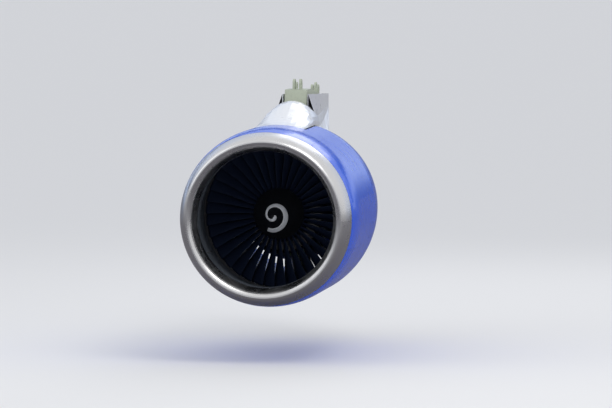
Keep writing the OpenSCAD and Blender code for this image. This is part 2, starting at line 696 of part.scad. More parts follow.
module exhaust_plug() {
    e = trf_end_s;
    n = 8;
    function plug_r(t) = blend(trf_hub_r + 14 * sin(180 * min(1, t * 3)), 64, t);
    color([0.45, 0.43, 0.4]) placed() ring(concat(
        [for (t = steps(0, 1, n)) [plug_r(t), lerp(e, plug_s, t)]], [[0, plug_s + 6], [0, plug_s]],
        [for (t = steps(0.97, 0.01, n)) [plug_r(t) - 6, lerp(e, plug_s, t)]],
        [[trf_hub_r - 40, lerp(e, plug_s, 0.01)], [trf_hub_r - 40, e]]));
}

// accessories
box_s = 2640;
box_z = -600;
module accessory_gearbox() {
    color([0.58, 0.6, 0.58]) placed() difference() {
        union() {
            translate([0, box_s + 160, 0]) rotate([90, 0, 0]) linear_extrude(160)
                polygon([[-330, -530], [330, -530],
                [356, -590], [260, -690], [-260, -690], [-356, -590]]);
            for (x = [-1, 1]) block([x * 250 - 26, box_s + 40, -560], [x * 250 + 26, box_s + 110, -300]);
        }
        rod(compressor_r + fit, box_s - 10, box_s + 200, ring_fn);
        block([-210, box_s - 10, -524], [210, box_s + 200, -300]);
    }
}

// a unit flanged to a face of the gearbox: drum, neck and clamp ring
module unit(x, s0, s1, r) {
    d = s1 > s0 ? 1 : -1;
    translate([x, s0, box_z]) rotate([d > 0 ? -90 : 90, 0, 0]) {
        cylinder(r = r * 0.8, h = 12, $fn = small_fn);
        translate([0, 0, 12]) cylinder(r = r * 0.62, h = 20, $fn = small_fn);
        translate([0, 0, 32]) cylinder(r = r, h = abs(s1 - s0) - 50, $fn = small_fn);
        translate([0, 0, abs(s1 - s0) - 18]) cylinder(r1 = r, r2 = r * 0.6, h = 18, $fn = small_fn);
    }
}

module starter() { color([0.66, 0.66, 0.64]) placed() unit(-210, box_s + 160, box_s + 370, 84); }
module generator() { color([0.3, 0.32, 0.34]) placed() unit(180, box_s + 160, box_s + 500, 92); }
module hydraulic_pump() { color([0.36, 0.42, 0.5]) placed() unit(-160, box_s, box_s - 126, 62); }

module oil_tank() {
    r = case_r + case_t + fit;
    color([0.72, 0.72, 0.7]) placed() {
        sector([[r, 2030], [r + 12, 2018], [r + 140, 2030], [r + 150, 2050], [r + 150, 2190],
            [r + 140, 2210],
            [r + 12, 2222], [r, 2210]], 12, 36);
        at(31) translate([r + 148, 2120, 0]) rotate([0, 90, 0]) cylinder(r = 34, h = 22, $fn = small_fn);
    }
}

module control_unit() {
    r = case_r + case_t + fit;
    color([0.4, 0.42, 0.44]) placed() {
        sector([[r, 2036], [r + 90, 2036], [r + 90, 2206], [r, 2206]], 158, 176);
        for (a = [161, 167, 173]) at(a) translate([r + 50, 2020, 0]) rod(18, 0, 18);
    }
}

// fan cowls
big = 3000;
fan_hinges = [1620, 1950, 2300];
duct_hinges = [2570, 2960];
latch_stations = [1650, 1960, 2300];
latch_w = 32;
cowl_end_s = frame_end_s - 10;
latch_pin_r = 5;
latch_x = 88;
latch_z = -(cowl_r - skin - 8);

// a plate across the engine, drawn in [across, height], from station s over length l
module frame_plate(s, l, points) {
    translate([0, s + l, 0]) rotate([90, 0, 0]) linear_extrude(l) polygon(points);
}

// curved part of a cowl arm that ties a knuckle to the upper edge of a cowl
module hinge_arm(s, x, z, out) {
    edge = sqrt(out * out - edge_x * edge_x);
    frame_plate(s - 24, 48, [[x - 4, z - knuckle_r + 2], [x + 44, z - 26],
        [edge_x + 120, sqrt(out * out - pow(edge_x + 120, 2)) - 4],
        [edge_x + 60, sqrt(out * out - pow(edge_x + 60, 2)) - 4], [edge_x + 4, edge - 4], [x + 2, z + 10]]);
    translate([x, 0, z]) rod(knuckle_r, s - 24, s + 24);
}

module fan_cowl(latches) {
    difference() {
        union() {
            difference() {
                half_ring([[cowl_r, cowl_s + seam], [outer_r(cowl_end_s), cowl_end_s],
                    [cowl_r - skin - 24, cowl_end_s], [cowl_r - skin - 24, cowl_end_s - 8],
                    [cowl_r - skin, cowl_end_s - 8], [cowl_r - skin, cowl_s + 12],
                    [cowl_r - skin - 24, cowl_s + 12], [cowl_r - skin - 24, cowl_s + seam]]);
                block([-big, cowl_s - 9, 0], [edge_x, cowl_end_s + 9, big]);
                block([-big, cowl_s - 9, -big], [1, cowl_end_s + 9, 0]);
            }
            for (s = fan_hinges) hinge_arm(s, hinge_x, hinge_z, cowl_r - skin + 3);
            if (latches) for (s = latch_stations, d = [-1, 1])
                translate([latch_x, 0, latch_z]) rod(10, s + d * (latch_w + 7) - 5, s + d * (latch_w + 7)
                    + 5);
        }
        for (s = fan_hinges) translate([hinge_x, 0, hinge_z]) rod(pin_r + run, s - 30, s + 30);
        if (latches) {
            for (s = latch_stations) {
                block([9, s - latch_w - 1.5, -big], [latch_x + 16, s + latch_w + 1.5, -1200]);
                translate([latch_x, 0, latch_z]) rod(latch_pin_r + run, s - 60, s + 60);
            }
        }
    }
}

// flush handle that swings down about a pin along the engine
module latch(s) {
    w = latch_w;
    color([0.75, 0.76, 0.78]) placed() {
        intersection() {
            half_ring([[cowl_r, s - w], [cowl_r, s + w], [cowl_r - skin, s + w], [cowl_r - skin, s - w]]);
            block([12, s - w, -big], [latch_x + 2, s + w, -1200]);
        }
        block([latch_x - 10, s - w, -sqrt(pow(cowl_r - 4, 2) - latch_x * latch_x)],
            [latch_x + 2, s + w, latch_z - 1]);
        translate([latch_x, 0, latch_z]) rod(latch_pin_r, s - w - 12, s + w + 12);
    }
}

module fan_cowl_right() { color([0.1, 0.33, 0.78]) placed() fan_cowl(true); }
module fan_cowl_left() { color([0.1, 0.33, 0.78]) placed() mirror([1, 0, 0]) fan_cowl(false); }
module fan_cowl_latch_front() { latch(latch_stations[0]); }
module fan_cowl_latch_middle() { latch(latch_stations[1]); }
module fan_cowl_latch_rear() { latch(latch_stations[2]); }

// thrust reverser, right half; the left half is its mirror image
box0_s = frame_end_s + 14;
box1_s = 2640;
grid_r = 1228;
grid_end_s = box1_s + sleeve_travel + 50;
rail_end_s = 3290;
wall_x = 203;
keel_x = 3;
sleeve_keel_x = 37;
door_s = 2680;
door_r = duct_r(door_s) + 8;
door_pitch = 154 / door_count;
function door_angle(i) = 67.5 - door_pitch * (i + 0.5);
door_pin_r = 7;
door_lug = 150;

module reverser_frame() {
    s1 = exit_s - 60;
    s = steps(box0_s, core_end_s, 9);
    difference() {
        union() {
            // inner wall of the duct, over the core
            half_ring(concat([for (a = s) [core_r(a), a]],
                [for (i = [9:-1:0]) [core_r(s[i]) - core_wall, s[i]]]));
            // front ring box that carries the cascades
            half_ring([[duct_r(box0_s), box0_s], [1380, box0_s], [1380, box0_s + 40], [1372, box0_s + 40],
                [1372, box0_s + 8], [duct_r(box0_s) + 14, box0_s + 8], [duct_r(box1_s) + 14, box1_s - 8],
                [1290, box1_s - 8], [1290, box1_s], [duct_r(box1_s), box1_s]]);
            // rear ring that closes the cascade opening
            half_ring([[grid_r - 14, grid_end_s + 2], [grid_r + cascade_t + 10, grid_end_s + 2],
                [grid_r + cascade_t + 10, rail_end_s - 6], [grid_r - 14, rail_end_s - 6]]);
        }
        block([-big, 0, 0], [wall_x, 6000, big]);
        block([-big, 0, -big], [keel_x, 6000, 0]);
        block([-big, 0, duct_r(box0_s) + 16], [hinge_x - 34, 6000, big]);
    }
    // side wall beside the pylon, top strip, hinge rail, keel wall and latch rail
    intersection() {
        half_ring(concat([for (a = steps(box0_s, s1, 6)) [core_r(a) - 2, a]],
            [for (i = [6:-1:0]) let (a = lerp(box0_s, s1, i / 6)) [duct_r(a) + 12, a]]));
        union() {
            block([wall_x, box0_s, 500], [wall_x + 12, s1, big]);
            block([keel_x, box0_s, -big], [keel_x + 12, s1, -500]);
        }
    }
    intersection() {
        half_ring(concat([for (a = steps(box0_s, s1, 6)) [duct_r(a), a]],
            [for (i = [6:-1:0]) let (a = lerp(box0_s, s1, i / 6)) [duct_r(a) + 12, a]]));
        union() {
            block([wall_x, box0_s, 500], [hinge_x + 4, s1, big]);
            block([keel_x, box0_s, -big], [sleeve_keel_x - 3, s1, -500]);
        }
    }
    difference() {
        union() {
            block([hinge_x - 34, box0_s, 1000], [hinge_x - 4, rail_end_s, duct_hinge_z - 26]);
            block([keel_x, box0_s, -1330], [sleeve_keel_x - 3, rail_end_s, -1100]);
        }
        rod(duct_r(box1_s) + 6, box0_s - 1, rail_end_s + 1, ring_fn);
    }
    for (a = duct_hinges) difference() {
        union() {
            translate([hinge_x, 0, duct_hinge_z]) rod(knuckle_r, a - 24, a + 24);
            frame_plate(a - 24, 48, [[hinge_x - 14, duct_hinge_z - 4], [hinge_x + 7, duct_hinge_z - 10],
                [hinge_x + 4, duct_hinge_z - 60], [hinge_x - 30, duct_hinge_z - 60]]);
        }
        translate([hinge_x, 0, duct_hinge_z]) rod(pin_r + run, a - 30, a + 30);
    }
}

// curved grid of slanted vanes between longitudinal ribs
module cascade() {
    step = (grid_end_s - box1_s - 30) / cascade_rows;
    r0 = grid_r;
    r1 = grid_r + cascade_t;
    span = 160;
    difference() {
        union() {
            half_ring([[r0, box1_s + fit], [r1, box1_s + fit], [r1, box1_s + 14], [r0, box1_s + 14]]);
            half_ring([[r0, grid_end_s - 14], [r1, grid_end_s - 14], [r1, grid_end_s], [r0, grid_end_s]]);
            for (i = [1:cascade_rows - 1]) let (s = box1_s + 12 + i * step)
                half_ring([[r0, s + 22], [r0 + 24, s + 6], [r1, s - 12], [r1, s - 7], [r0 + 24, s + 12],
                    [r0, s + 29]]);
            for (i = [0:cascade_cells]) at(70 - span * i / cascade_cells * 0.98)
                spoke(r0 + 4, r1 - 2, [[box1_s + 6, -3], [grid_end_s - 6, -3], [grid_end_s - 6, 3],
                    [box1_s + 6, 3]]);
        }
        block([-big, 0, 0], [hinge_x - 4 + fit, 6000, big]);
        block([-big, 0, -big], [sleeve_keel_x - 3 + fit, 6000, 0]);
    }
}

// half width of a door at a station
function door_side(s) = lerp(door_w, door_tail_w, (s - door_s + 5) / (door_len + 5));
// outline of a door, its front corners cut back so that they swing clear of the strip ahead
door_shape = [[-185, door_s - 5], [185, door_s - 5], [door_side(door_s + 56), door_s + 56],
    [door_tail_w, door_s + door_len], [-door_tail_w, door_s + door_len],
        [-door_side(door_s + 56), door_s + 56]];
strip_end_s = door_s - 28;
door_hole = [[-door_side(strip_end_s) - door_gap, strip_end_s],
    [door_side(strip_end_s) + door_gap, strip_end_s],
    [door_tail_w + door_gap, door_s + door_len + door_gap], [-door_tail_w - door_gap,
        door_s + door_len + door_gap]];

module door_prism(outline) {
    translate([900, 0, 0]) rotate([90, 0, 90]) linear_extrude(400)
        polygon([for (p = outline) [p[1], p[0]]]);
}

module sleeve() {
    s0 = frame_end_s - 6;
    inner0 = door_s - 36;
    merge_s = 3900;
    out = steps(s0, exit_s, 9);
    in = steps(exit_s, inner0, 7);
    difference() {
        union() {
            difference() {
                half_ring(concat([for (a = out) [outer_r(a), a]], [for (a = in) [duct_r(a), a]],
                    [[duct_r(inner0) + 14, inner0]],
                    [for (a = steps(door_s + 330, merge_s, 3)) [duct_r(a) + 14, a]],
                    [for (a = steps(merge_s, s0, 6)) [outer_r(a) - skin, a]]));
                for (i = [0:door_count - 1]) at(door_angle(i)) door_prism(door_hole);
            }
            for (i = [0:door_count - 1], d = [-1, 1]) at(door_angle(i)) translate([0, 0, d * door_lug]) {
                translate([door_r, door_s, 0]) cylinder(r = 13, h = 14, center = true, $fn = small_fn);
                block([duct_r(door_s) - 12, inner0 + 1, -7], [door_r + 8, door_s - 6, 7]);
            }
        }
        for (i = [0:door_count - 1]) at(door_angle(i))
            translate([door_r, door_s, 0]) cylinder(r = door_pin_r + run, h = 2 * door_lug + 60, center =
                true, $fn = small_fn);
        block([-big, 0, 0], [sleeve_edge_x, 6000, big]);
        block([-big, 0, -big], [sleeve_keel_x, 6000, 0]);
    }
}

module blocker_door(i) {
    a = steps(door_s - 12, door_s + door_len + 4, 3);
    color([0.62, 0.64, 0.66]) placed() {
        difference() {
            intersection() {
                sector(concat([for (s = a) [duct_r(s), s]],
                    [for (k = [3:-1:0]) [duct_r(a[k]) + door_t, a[k]]]), door_angle(i) - 24, door_angle(i)
                        + 24);
                at(door_angle(i)) door_prism(door_shape);
            }
            for (d = [-1, 1]) at(door_angle(i)) translate([0, 0, d * door_lug])
                block([1000, door_s - 20, -12], [1300, door_s + 18, 12]);
        }
        at(door_angle(i)) translate([door_r, door_s, 0])
            cylinder(r = door_pin_r, h = 2 * door_lug + 30, center = true, $fn = small_fn);
    }
}

module reverser_frame_right() { color([0.66, 0.68, 0.7]) placed() reverser_frame(); }
module reverser_frame_left() { color([0.66, 0.68, 0.7]) placed() mirror([1, 0, 0]) reverser_frame(); }
module cascade_right() { color([0.35, 0.37, 0.4]) placed() cascade(); }
module cascade_left() { color([0.35, 0.37, 0.4]) placed() mirror([1, 0, 0]) cascade(); }
module sleeve_right() { color([0.1, 0.33, 0.78]) placed() sleeve(); }
module sleeve_left() { color([0.1, 0.33, 0.78]) placed() mirror([1, 0, 0]) sleeve(); }

// the left doors are the right ones seen in the middle plane
module left_door(i) {
    mirror([1, 0, 0]) blocker_door(i);
}

module blocker_door_right_1() { blocker_door(0); }
module blocker_door_right_2() { blocker_door(1); }
module blocker_door_right_3() { blocker_door(2); }
module blocker_door_right_4() { blocker_door(3); }
module blocker_door_left_1() { left_door(0); }
module blocker_door_left_2() { left_door(1); }
module blocker_door_left_3() { left_door(2); }
module blocker_door_left_4() { left_door(3); }

// pylon, mounts and links
box_low_z = 880;
beam_z = flange_r + fit;
box_tail_s = 4720;

module cowl_support_beam() {
    color([0.6, 0.6, 0.56]) placed() {
        block([-150, attach_s + 4, beam_z], [150, frame_end_s + 10, beam_z + 30]);
        both_sides() {
            for (s = fan_hinges) {
                for (d = [-38, 26]) frame_plate(s + d, 12, [[140, beam_z + 2], [140, beam_z + 28],
                    [pylon_w + 6, beam_z + 28], [hinge_x - 8, hinge_z + 11], [hinge_x + 8, hinge_z + 9], [hinge_x + 12, hinge_z - 8],
                    [hinge_x - 20, hinge_z - 24]]);
                translate([hinge_x, 0, hinge_z]) rod(pin_r, s - 38, s + 38);
            }
            for (s = duct_hinges) {
                for (d = [-38, 26]) frame_plate(s + d, 12, [[pylon_w + fit, 1210], [pylon_w + fit, 1300],
                    [hinge_x - 8, duct_hinge_z + 12], [hinge_x + 8, duct_hinge_z + 9],
                        [hinge_x + 13, duct_hinge_z - 6],
                    [hinge_x - 18, duct_hinge_z - 16]]);
                translate([hinge_x, 0, duct_hinge_z]) rod(pin_r, s - 38, s + 38);
                block([pylon_w + fit, s - 44, 1200], [pylon_w + 14, s + 44, 1310]);
            }
        }
    }
}

lug_t = 34;
brace_s = 5240;
brace_z = 1800;
spar_s = 4300;
module pylon_box() {
    w = pylon_w;
    z0 = beam_z + 30 + fit;
    color([0.66, 0.67, 0.62]) placed() difference() {
        union() {
            difference() {
                translate([-w, 0, 0]) rotate([90, 0, 90]) linear_extrude(2 * w)
                    polygon([[2020, z0], [frame_end_s + 14, z0],
                    [frame_end_s + 34, box_low_z], [box_tail_s, box_low_z], [box_tail_s + 160, 1060],
                        [brace_s + 90, 1560],
                    [brace_s + 90, 1640], [lug_s + 260, lug_h - 90], [lug_s - 160, lug_h - 90],
                        [3200, 1590], [2020, 1410]]);
                // bays between the frames of the box, open to the sides inside the skins
                for (s = [2660, 3060, 3460, 3860, 4260]) block([-w + 14, s, box_low_z + 30],
                    [w - 14, s + 360, 1560]);
            }
            for (x = [-1, 1]) translate([x * 52 - lug_t / 2, lug_s, lug_h]) rotate([0, 90, 0]) {
                cylinder(r = lug_bore_r + 40, h = lug_t, $fn = small_fn);
                translate([0, -lug_bore_r - 40, 0]) cube([130, 2 * lug_bore_r + 80, lug_t]);
            }
            for (x = [-1, 1]) translate([x * (w - 22) - lug_t / 2, spar_s, lug_h - 80]) rotate([0, 90, 0]) {
                cylinder(r = lug_bore_r + 30, h = lug_t, $fn = small_fn);
                translate([0, -lug_bore_r - 30, 0]) cube([170, 2 * lug_bore_r + 60, lug_t]);
            }
            for (x = [-1, 1]) translate([x * 46 - lug_t / 2, brace_s, brace_z]) rotate([0, 90, 0]) {
                cylinder(r = lug_bore_r + 30, h = lug_t, $fn = small_fn);
                translate([0, -lug_bore_r - 30, 0]) cube([230, 2 * lug_bore_r + 60, lug_t]);
            }
        }
        for (p = [[lug_s, lug_h], [spar_s, lug_h - 80], [brace_s, brace_z]])
            translate([-500, p[0], p[1]]) rotate([0, 90, 0]) cylinder(r = lug_bore_r, h = 1000, $fn =
                small_fn);
    }
}

// height of the ridge of the fairing over the cowls
nose_end_s = 3180;
fairing_t = 8;
function ridge(s) = s < 2950 ? blend(0, fairing_top - cowl_r, (s - fairing_s) / (2950 - fairing_s)) :
    fairing_top - cowl_r;
function foot_w(s) = s < frame_end_s - 24 ? fairing_w : s < frame_end_s ?
    lerp(fairing_w, fairing_w - 22, (s - frame_end_s + 24) / 24) : fairing_w - 22;
function arch(s, u, w, drop) = let (r = outer_r(s)) [u * w, s,
    sqrt(r * r - pow(u * w, 2)) + ridge(s) * pow(max(0, 1 - u * u), 0.42) - drop];
arch_cut = [-1, -0.985, -0.94, -0.82, -0.6, -0.36, -0.12, 0.12, 0.36, 0.6, 0.82, 0.94, 0.985, 1];

module pylon_fairing() {
    s = concat([cowl_s + 6], [for (i = [1:11]) lerp(cowl_s, nose_end_s, i / 12)], [nose_end_s - 1]);
    rows = concat([for (a = s) if (a < frame_end_s - 26) a], [frame_end_s - 24, frame_end_s],
        [for (a = s) if (a > frame_end_s + 10) a]);
    n = len(arch_cut) - 1;
    color([0.88, 0.89, 0.91]) placed() loft([for (a = rows) concat(
        [for (u = arch_cut) arch(a, u, foot_w(a) - fairing_t, fairing_t)],
        [for (i = [n:-1:0]) arch(a, arch_cut[i], foot_w(a), 0)])]);
}

// side skins of the pylon behind the fairing, open on top where the wing sits
tail_end_s = 5600;
brace_end_s = brace_s + 100;
function tail_side(s) = s < brace_end_s ? pylon_w + 30 : lerp(pylon_w + 30, 60, (s - brace_end_s)
    / (tail_end_s - brace_end_s));
function tail_foot(s) = s < 4200 ? foot_w(s) : s < brace_end_s
    ? lerp(foot_w(s), pylon_w + 36, (s - 4200) / (brace_end_s - 4200)) : tail_side(s) + 6;
function tail_low(s) = s < 4200 ? sqrt(pow(outer_r(s), 2) - pow(foot_w(s), 2))
    : lerp(sqrt(pow(outer_r(4200), 2) - pow(foot_w(4200), 2)), 1540,
        pow((s - 4200) / (tail_end_s - 4200), 1.3));
function tail_top(s) = lerp(fairing_top + 60, fairing_top - 40, (s - nose_end_s)
    / (tail_end_s - nose_end_s));
function tail_row(s, inset) = let (f = tail_foot(s), z0 = tail_low(s), z1 = tail_top(s), x1 =
    min(tail_side(s), f))
    [for (t = [0, 0.08, 0.25, 0.5, 1]) [x1 + (f - x1) * pow(1 - min(1, t * 1.6), 3) - inset, s,
        lerp(z0, z1, t)]];

module pylon_aft_fairing() {
    rows = concat(steps(nose_end_s + 2, 4200, 4), steps(4480, brace_end_s, 3), [tail_end_s]);
    color([0.82, 0.83, 0.85]) placed() both_sides() loft([for (a = rows) concat(tail_row(a, 0),
        [for (i = [4:-1:0]) tail_row(a, fairing_t)[i]])]);
}

mount_s = 2530;
module front_engine_mount() {
    r = compressor_r + fit;
    color([0.5, 0.5, 0.48]) placed() {
        sector([[r, mount_s], [r + 46, mount_s], [r + 46, mount_s + 90], [r, mount_s + 90]], 58, 122);
        block([-110, mount_s + 8, r + 30], [110, mount_s + 82, 800]);
        block([-150, mount_s, 780], [150, mount_s + 90, box_low_z - fit]);
    }
}

module rear_engine_mount() {
    r = turbine_r + 24 + fit;
    s = lpt_end_s - 40;
    color([0.5, 0.49, 0.46]) placed() {
        sector([[r, s + 28], [r + 22, s + 28], [r + 22, s + 52], [r, s + 52]], 73, 107);
        block([-60, s, r + 8], [60, s + 80, box_low_z - 40]);
        block([-140, s, box_low_z - 60], [140, s + 80, box_low_z - fit]);
    }
}

// a bar between two points with a ball end at each
module bar(p, q, r, ball) {
    d = q - p;
    len = norm(d);
    translate(p) rotate([0, acos(d[2] / len), atan2(d[1], d[0])]) cylinder(r = r, h = len, $fn = 32);
    translate(p) sphere(r = ball, $fn = 32);
    translate(q) sphere(r = ball, $fn = 32);
}

link_ball = 34;
module thrust_links() {
    front_r = core_duct_r - 26;
    color([0.6, 0.6, 0.6]) placed() both_sides()
        bar([170, frame_end_s + link_ball + fit, sqrt(front_r * front_r - 170 * 170)],
            [60 + link_ball + fit, lpt_end_s, 760], 20, link_ball);
}

inlet_lip();
inlet_outer_barrel();
inlet_inner_barrel();
inlet_bulkheads();
spinner();
spinner_spiral();
fan_blades();
fan_disk();
fan_case();
fan_frame();
outlet_guide_vanes();
splitter_fairing();
booster_case();
booster_rotor();
lp_shaft();
lp_bearing_rollers();
bearing_outer_rings();
compressor_case();
high_compressor_rotor();
combustion_case();
fuel_nozzles();
combustor_liner();
turbine_case();
high_turbine_rotor();
lp_turbine_rotor();
turbine_rear_frame();
primary_nozzle();
exhaust_plug();
accessory_gearbox();
starter();
generator();
hydraulic_pump();
oil_tank();
control_unit();
fan_cowl_right();
fan_cowl_left();
fan_cowl_latch_front();
fan_cowl_latch_middle();
fan_cowl_latch_rear();
reverser_frame_right();
reverser_frame_left();
cascade_right();
cascade_left();
sleeve_right();
sleeve_left();
blocker_door_right_1();
blocker_door_right_2();
blocker_door_right_3();
blocker_door_right_4();
blocker_door_left_1();
blocker_door_left_2();
blocker_door_left_3();
blocker_door_left_4();
cowl_support_beam();
pylon_box();
pylon_fairing();
pylon_aft_fairing();
front_engine_mount();
rear_engine_mount();
thrust_links();
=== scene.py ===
"""Finishes and fine surfaces of a high bypass jet engine with its cowls, reverser and pylon."""
import math

import bpy
import numpy as np
from bpy.props import FloatProperty, FloatVectorProperty, IntProperty, PointerProperty
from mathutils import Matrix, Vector


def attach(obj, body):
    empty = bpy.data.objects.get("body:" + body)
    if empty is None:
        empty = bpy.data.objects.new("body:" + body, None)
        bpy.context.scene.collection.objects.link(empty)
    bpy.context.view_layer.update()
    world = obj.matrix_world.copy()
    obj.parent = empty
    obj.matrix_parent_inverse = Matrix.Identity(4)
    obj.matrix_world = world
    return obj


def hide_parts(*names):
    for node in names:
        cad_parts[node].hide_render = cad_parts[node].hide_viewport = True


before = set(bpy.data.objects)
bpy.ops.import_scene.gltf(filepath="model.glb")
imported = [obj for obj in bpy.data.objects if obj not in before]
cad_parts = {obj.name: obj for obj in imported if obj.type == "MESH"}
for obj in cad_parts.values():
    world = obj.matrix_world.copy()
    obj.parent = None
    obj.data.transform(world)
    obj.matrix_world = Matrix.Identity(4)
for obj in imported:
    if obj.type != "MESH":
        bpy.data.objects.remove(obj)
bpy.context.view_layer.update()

bl_info = {
    "name": "Jet Engine Dressing",
    "version": (1, 0, 0),
    "blender": (4, 2, 0),
    "location": "View3D > Sidebar > Jet Engine",
    "description": "Paint, fan, fasteners, lines and studio of the jet engine over its solids",
    "category": "Object",
}

# Lengths in metres: S is a station aft of the inlet's foremost edge, R a radius from the engine axis

LUG_S, LUG_H = 3.420, 1.960      # station and height of the front spar lug, the origin of the frame
AXIS_Z = -LUG_H
HIGHLIGHT_R, BELLY_R, BELLY_S = 1.205, 1.400, 0.950         # foremost edge and widest part of the nacelle
THROAT_R, THROAT_S, ATTACH_S = 1.060, 0.330, 1.440          # narrowest part and rear end of the inlet
TAPER_S, EXIT_S, EXIT_R, EXIT_EDGE = 2.450, 4.250, 1.128, 0.012      # rear taper and fan nozzle edge
LIP_S, LIP_INNER_S = 0.300, 0.250                           # rear edges of the lip skin, outside and inside
CASE_R, FRAME_END_S = 1.186, 2.490                          # fan case and the rear end of its frame
COWL_S, SLEEVE_S = 1.484, 2.484                             # front edges of the fan cowls and sleeves
COWL_TOP_X, SLEEVE_TOP_X = 0.466, 0.455                     # distance of their top rows from the middle
SPINNER_S, SPINNER_R, SPINNER_LEN = 1.560, 0.400, 0.600     # spinner from its rear edge
RIM_R, RIM_LEN = 0.452, 0.250                               # rear radius and length of the disk rim
BLADES, FAN_R = 38, 1.180
SINK = 0.001                     # how deep an added piece sits in the skin that carries it


# Sizes and colours a user may change

class CowlSettings(bpy.types.PropertyGroup):
    """Paint and fasteners of the nacelle."""
    paint: FloatVectorProperty(name="Cowl paint", description="Colour of the gloss paint on the cowls",
                               subtype="COLOR", size=3, min=0, max=1, default=(0.004, 0.085, 0.70))
    lip: FloatVectorProperty(name="Lip metal", description="Colour of the polished lip skin",
                             subtype="COLOR", size=3, min=0, max=1, default=(0.60, 0.60, 0.61))
    fastener: FloatProperty(name="Fastener", description="Radius of a flush fastener head",
                            subtype="DISTANCE", unit="LENGTH", default=0.0055, min=0.003, max=0.012)
    spacing: FloatProperty(name="Spacing", description="Distance between neighbouring fasteners",
                           subtype="DISTANCE", unit="LENGTH", default=0.075, min=0.04, max=0.2)


class FanSettings(bpy.types.PropertyGroup):
    """Fan blades and spinner."""
    # Its default is near-black, the shade deep in the inlet painted over the grey of the blades' titanium
    blade: FloatVectorProperty(name="Blade metal", description="Colour of the fan blades",
                               subtype="COLOR", size=3, min=0, max=1, default=(0.012, 0.020, 0.048))
    cuts: IntProperty(name="Chord cuts", description="Points along one face of a blade",
                      default=13, min=6, max=24)
    rows: IntProperty(name="Span rows", description="Sections between the platform and the tip",
                      default=26, min=8, max=48)
    spiral: FloatVectorProperty(name="Spiral paint", description="Colour of the painted spiral",
                                subtype="COLOR", size=3, min=0, max=1, default=(0.86, 0.88, 0.92))


class StudioSettings(bpy.types.PropertyGroup):
    """Floor, light and camera."""
    floor_gap: FloatProperty(name="Floor gap", description="Distance of the floor below the cowls",
                             subtype="DISTANCE", unit="LENGTH", default=0.85, min=0.2, max=3)
    floor: FloatVectorProperty(name="Floor", description="Colour of the plain floor", subtype="COLOR",
                               size=3, min=0, max=1, default=(0.80, 0.80, 0.80))
    azimuth: FloatProperty(name="Azimuth", description="Camera angle round the engine from straight ahead",
                           subtype="ANGLE", unit="ROTATION", default=math.radians(9.0))
    elevation: FloatProperty(name="Elevation", description="Camera angle above the engine axis",
                             subtype="ANGLE", unit="ROTATION", default=math.radians(4.0))


# Lines of the engine

def ease(a, b, t):
    """a + (b - a) t^2 (3 - 2t), the smooth step of the CAD lines."""
    t = np.asarray(t, float)
    return a + (b - a) * t * t * (3 - 2 * t)


def outer_r(s):
    """Outer line of the nacelle: quarter ellipse to the belly, straight, then R - (R - Re) t^1.6."""
    s = np.asarray(s, float)
    nose = np.sqrt(np.maximum(0, 1 - (1 - s / BELLY_S) ** 2))
    tail = np.clip((s - TAPER_S) / (EXIT_S - TAPER_S), 0, None) ** 1.6
    return np.where(s < BELLY_S, HIGHLIGHT_R + (BELLY_R - HIGHLIGHT_R) * nose,
                    BELLY_R - (BELLY_R - EXIT_R) * tail)


def duct_r(s):
    """Outer wall of the air path: ellipse to the throat, smooth widening, case, fan nozzle."""
    s = np.asarray(s, float)
    nose = np.sqrt(np.maximum(0, 1 - (1 - s / THROAT_S) ** 2))
    mouth = HIGHLIGHT_R - (HIGHLIGHT_R - THROAT_R) * nose
    wide = ease(THROAT_R, CASE_R, np.clip((s - THROAT_S) / (ATTACH_S - THROAT_S), 0, 1))
    tail = ease(CASE_R, EXIT_R - EXIT_EDGE, np.clip((s - FRAME_END_S) / (EXIT_S - FRAME_END_S), 0, 1))
    return np.where(s < THROAT_S, mouth, np.where(s < FRAME_END_S, wide, tail))


def rim_r(s):
    """Surface of the disk rim, a cone that carries on from the spinner: R + (R1 - R) (s - s0) / length."""
    return SPINNER_R + (RIM_R - SPINNER_R) / RIM_LEN * (s - SPINNER_S)


def polar(r, s, angle):
    """Point at radius r, station s and angle above +X, as (r cos a, s - lug, r sin a - lug height)."""
    r, s, angle = np.broadcast_arrays(np.asarray(r, float), np.asarray(s, float), np.asarray(angle, float))
    return np.stack([r * np.cos(angle), s - LUG_S, r * np.sin(angle) + AXIS_Z], -1)


def unit(v):
    """Directions of length one, v / |v|."""
    return v / np.linalg.norm(v, axis=-1, keepdims=True)


def off_axis(points):
    """From the engine axis to each point, square to the axis: (x, 0, z + lug height)."""
    return points * [1, 0, 1] - [0, 0, AXIS_Z]


# Meshes from whole arrays

def put_piece(name, points, faces, material, body, slot, smooth=True, replaces=()):
    """One mesh object from an (n, 3) array of points and a list of face arrays, riding on a body."""
    mesh = bpy.data.meshes.new(name)
    listed = [row for block in faces for row in np.asarray(block).tolist()]
    mesh.from_pydata(np.asarray(points, float).reshape(-1, 3).tolist(), [], listed)
    mesh.polygons.foreach_set("use_smooth", np.full(len(mesh.polygons), smooth))
    mesh.update()
    piece = bpy.data.objects.new(name, mesh)
    bpy.context.scene.collection.objects.link(piece)
    piece.data.materials.append(material)
    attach(piece, body)
    if replaces:
        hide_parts(*replaces)
    return piece


def grid_faces(rows, cols):
    """Quads of a rows by cols grid of points, number r * cols + c, closed round the columns."""
    r, c = np.meshgrid(np.arange(rows - 1), np.arange(cols), indexing="ij")
    a, b = r * cols + c, r * cols + (c + 1) % cols
    return np.stack([a, b, b + cols, a + cols], -1).reshape(-1, 4)


def bar_faces(count, rows, cols):
    """Walls and flat ends of like bars, each a rows by cols grid closed round the columns."""
    first = np.arange(count)[:, None, None] * rows * cols
    walls = (grid_faces(rows, cols)[None] + first).reshape(-1, 4)
    k = np.arange(cols)
    ends = np.concatenate([k[::-1] + first[:, 0], k + (rows - 1) * cols + first[:, 0]])
    return [walls, ends]


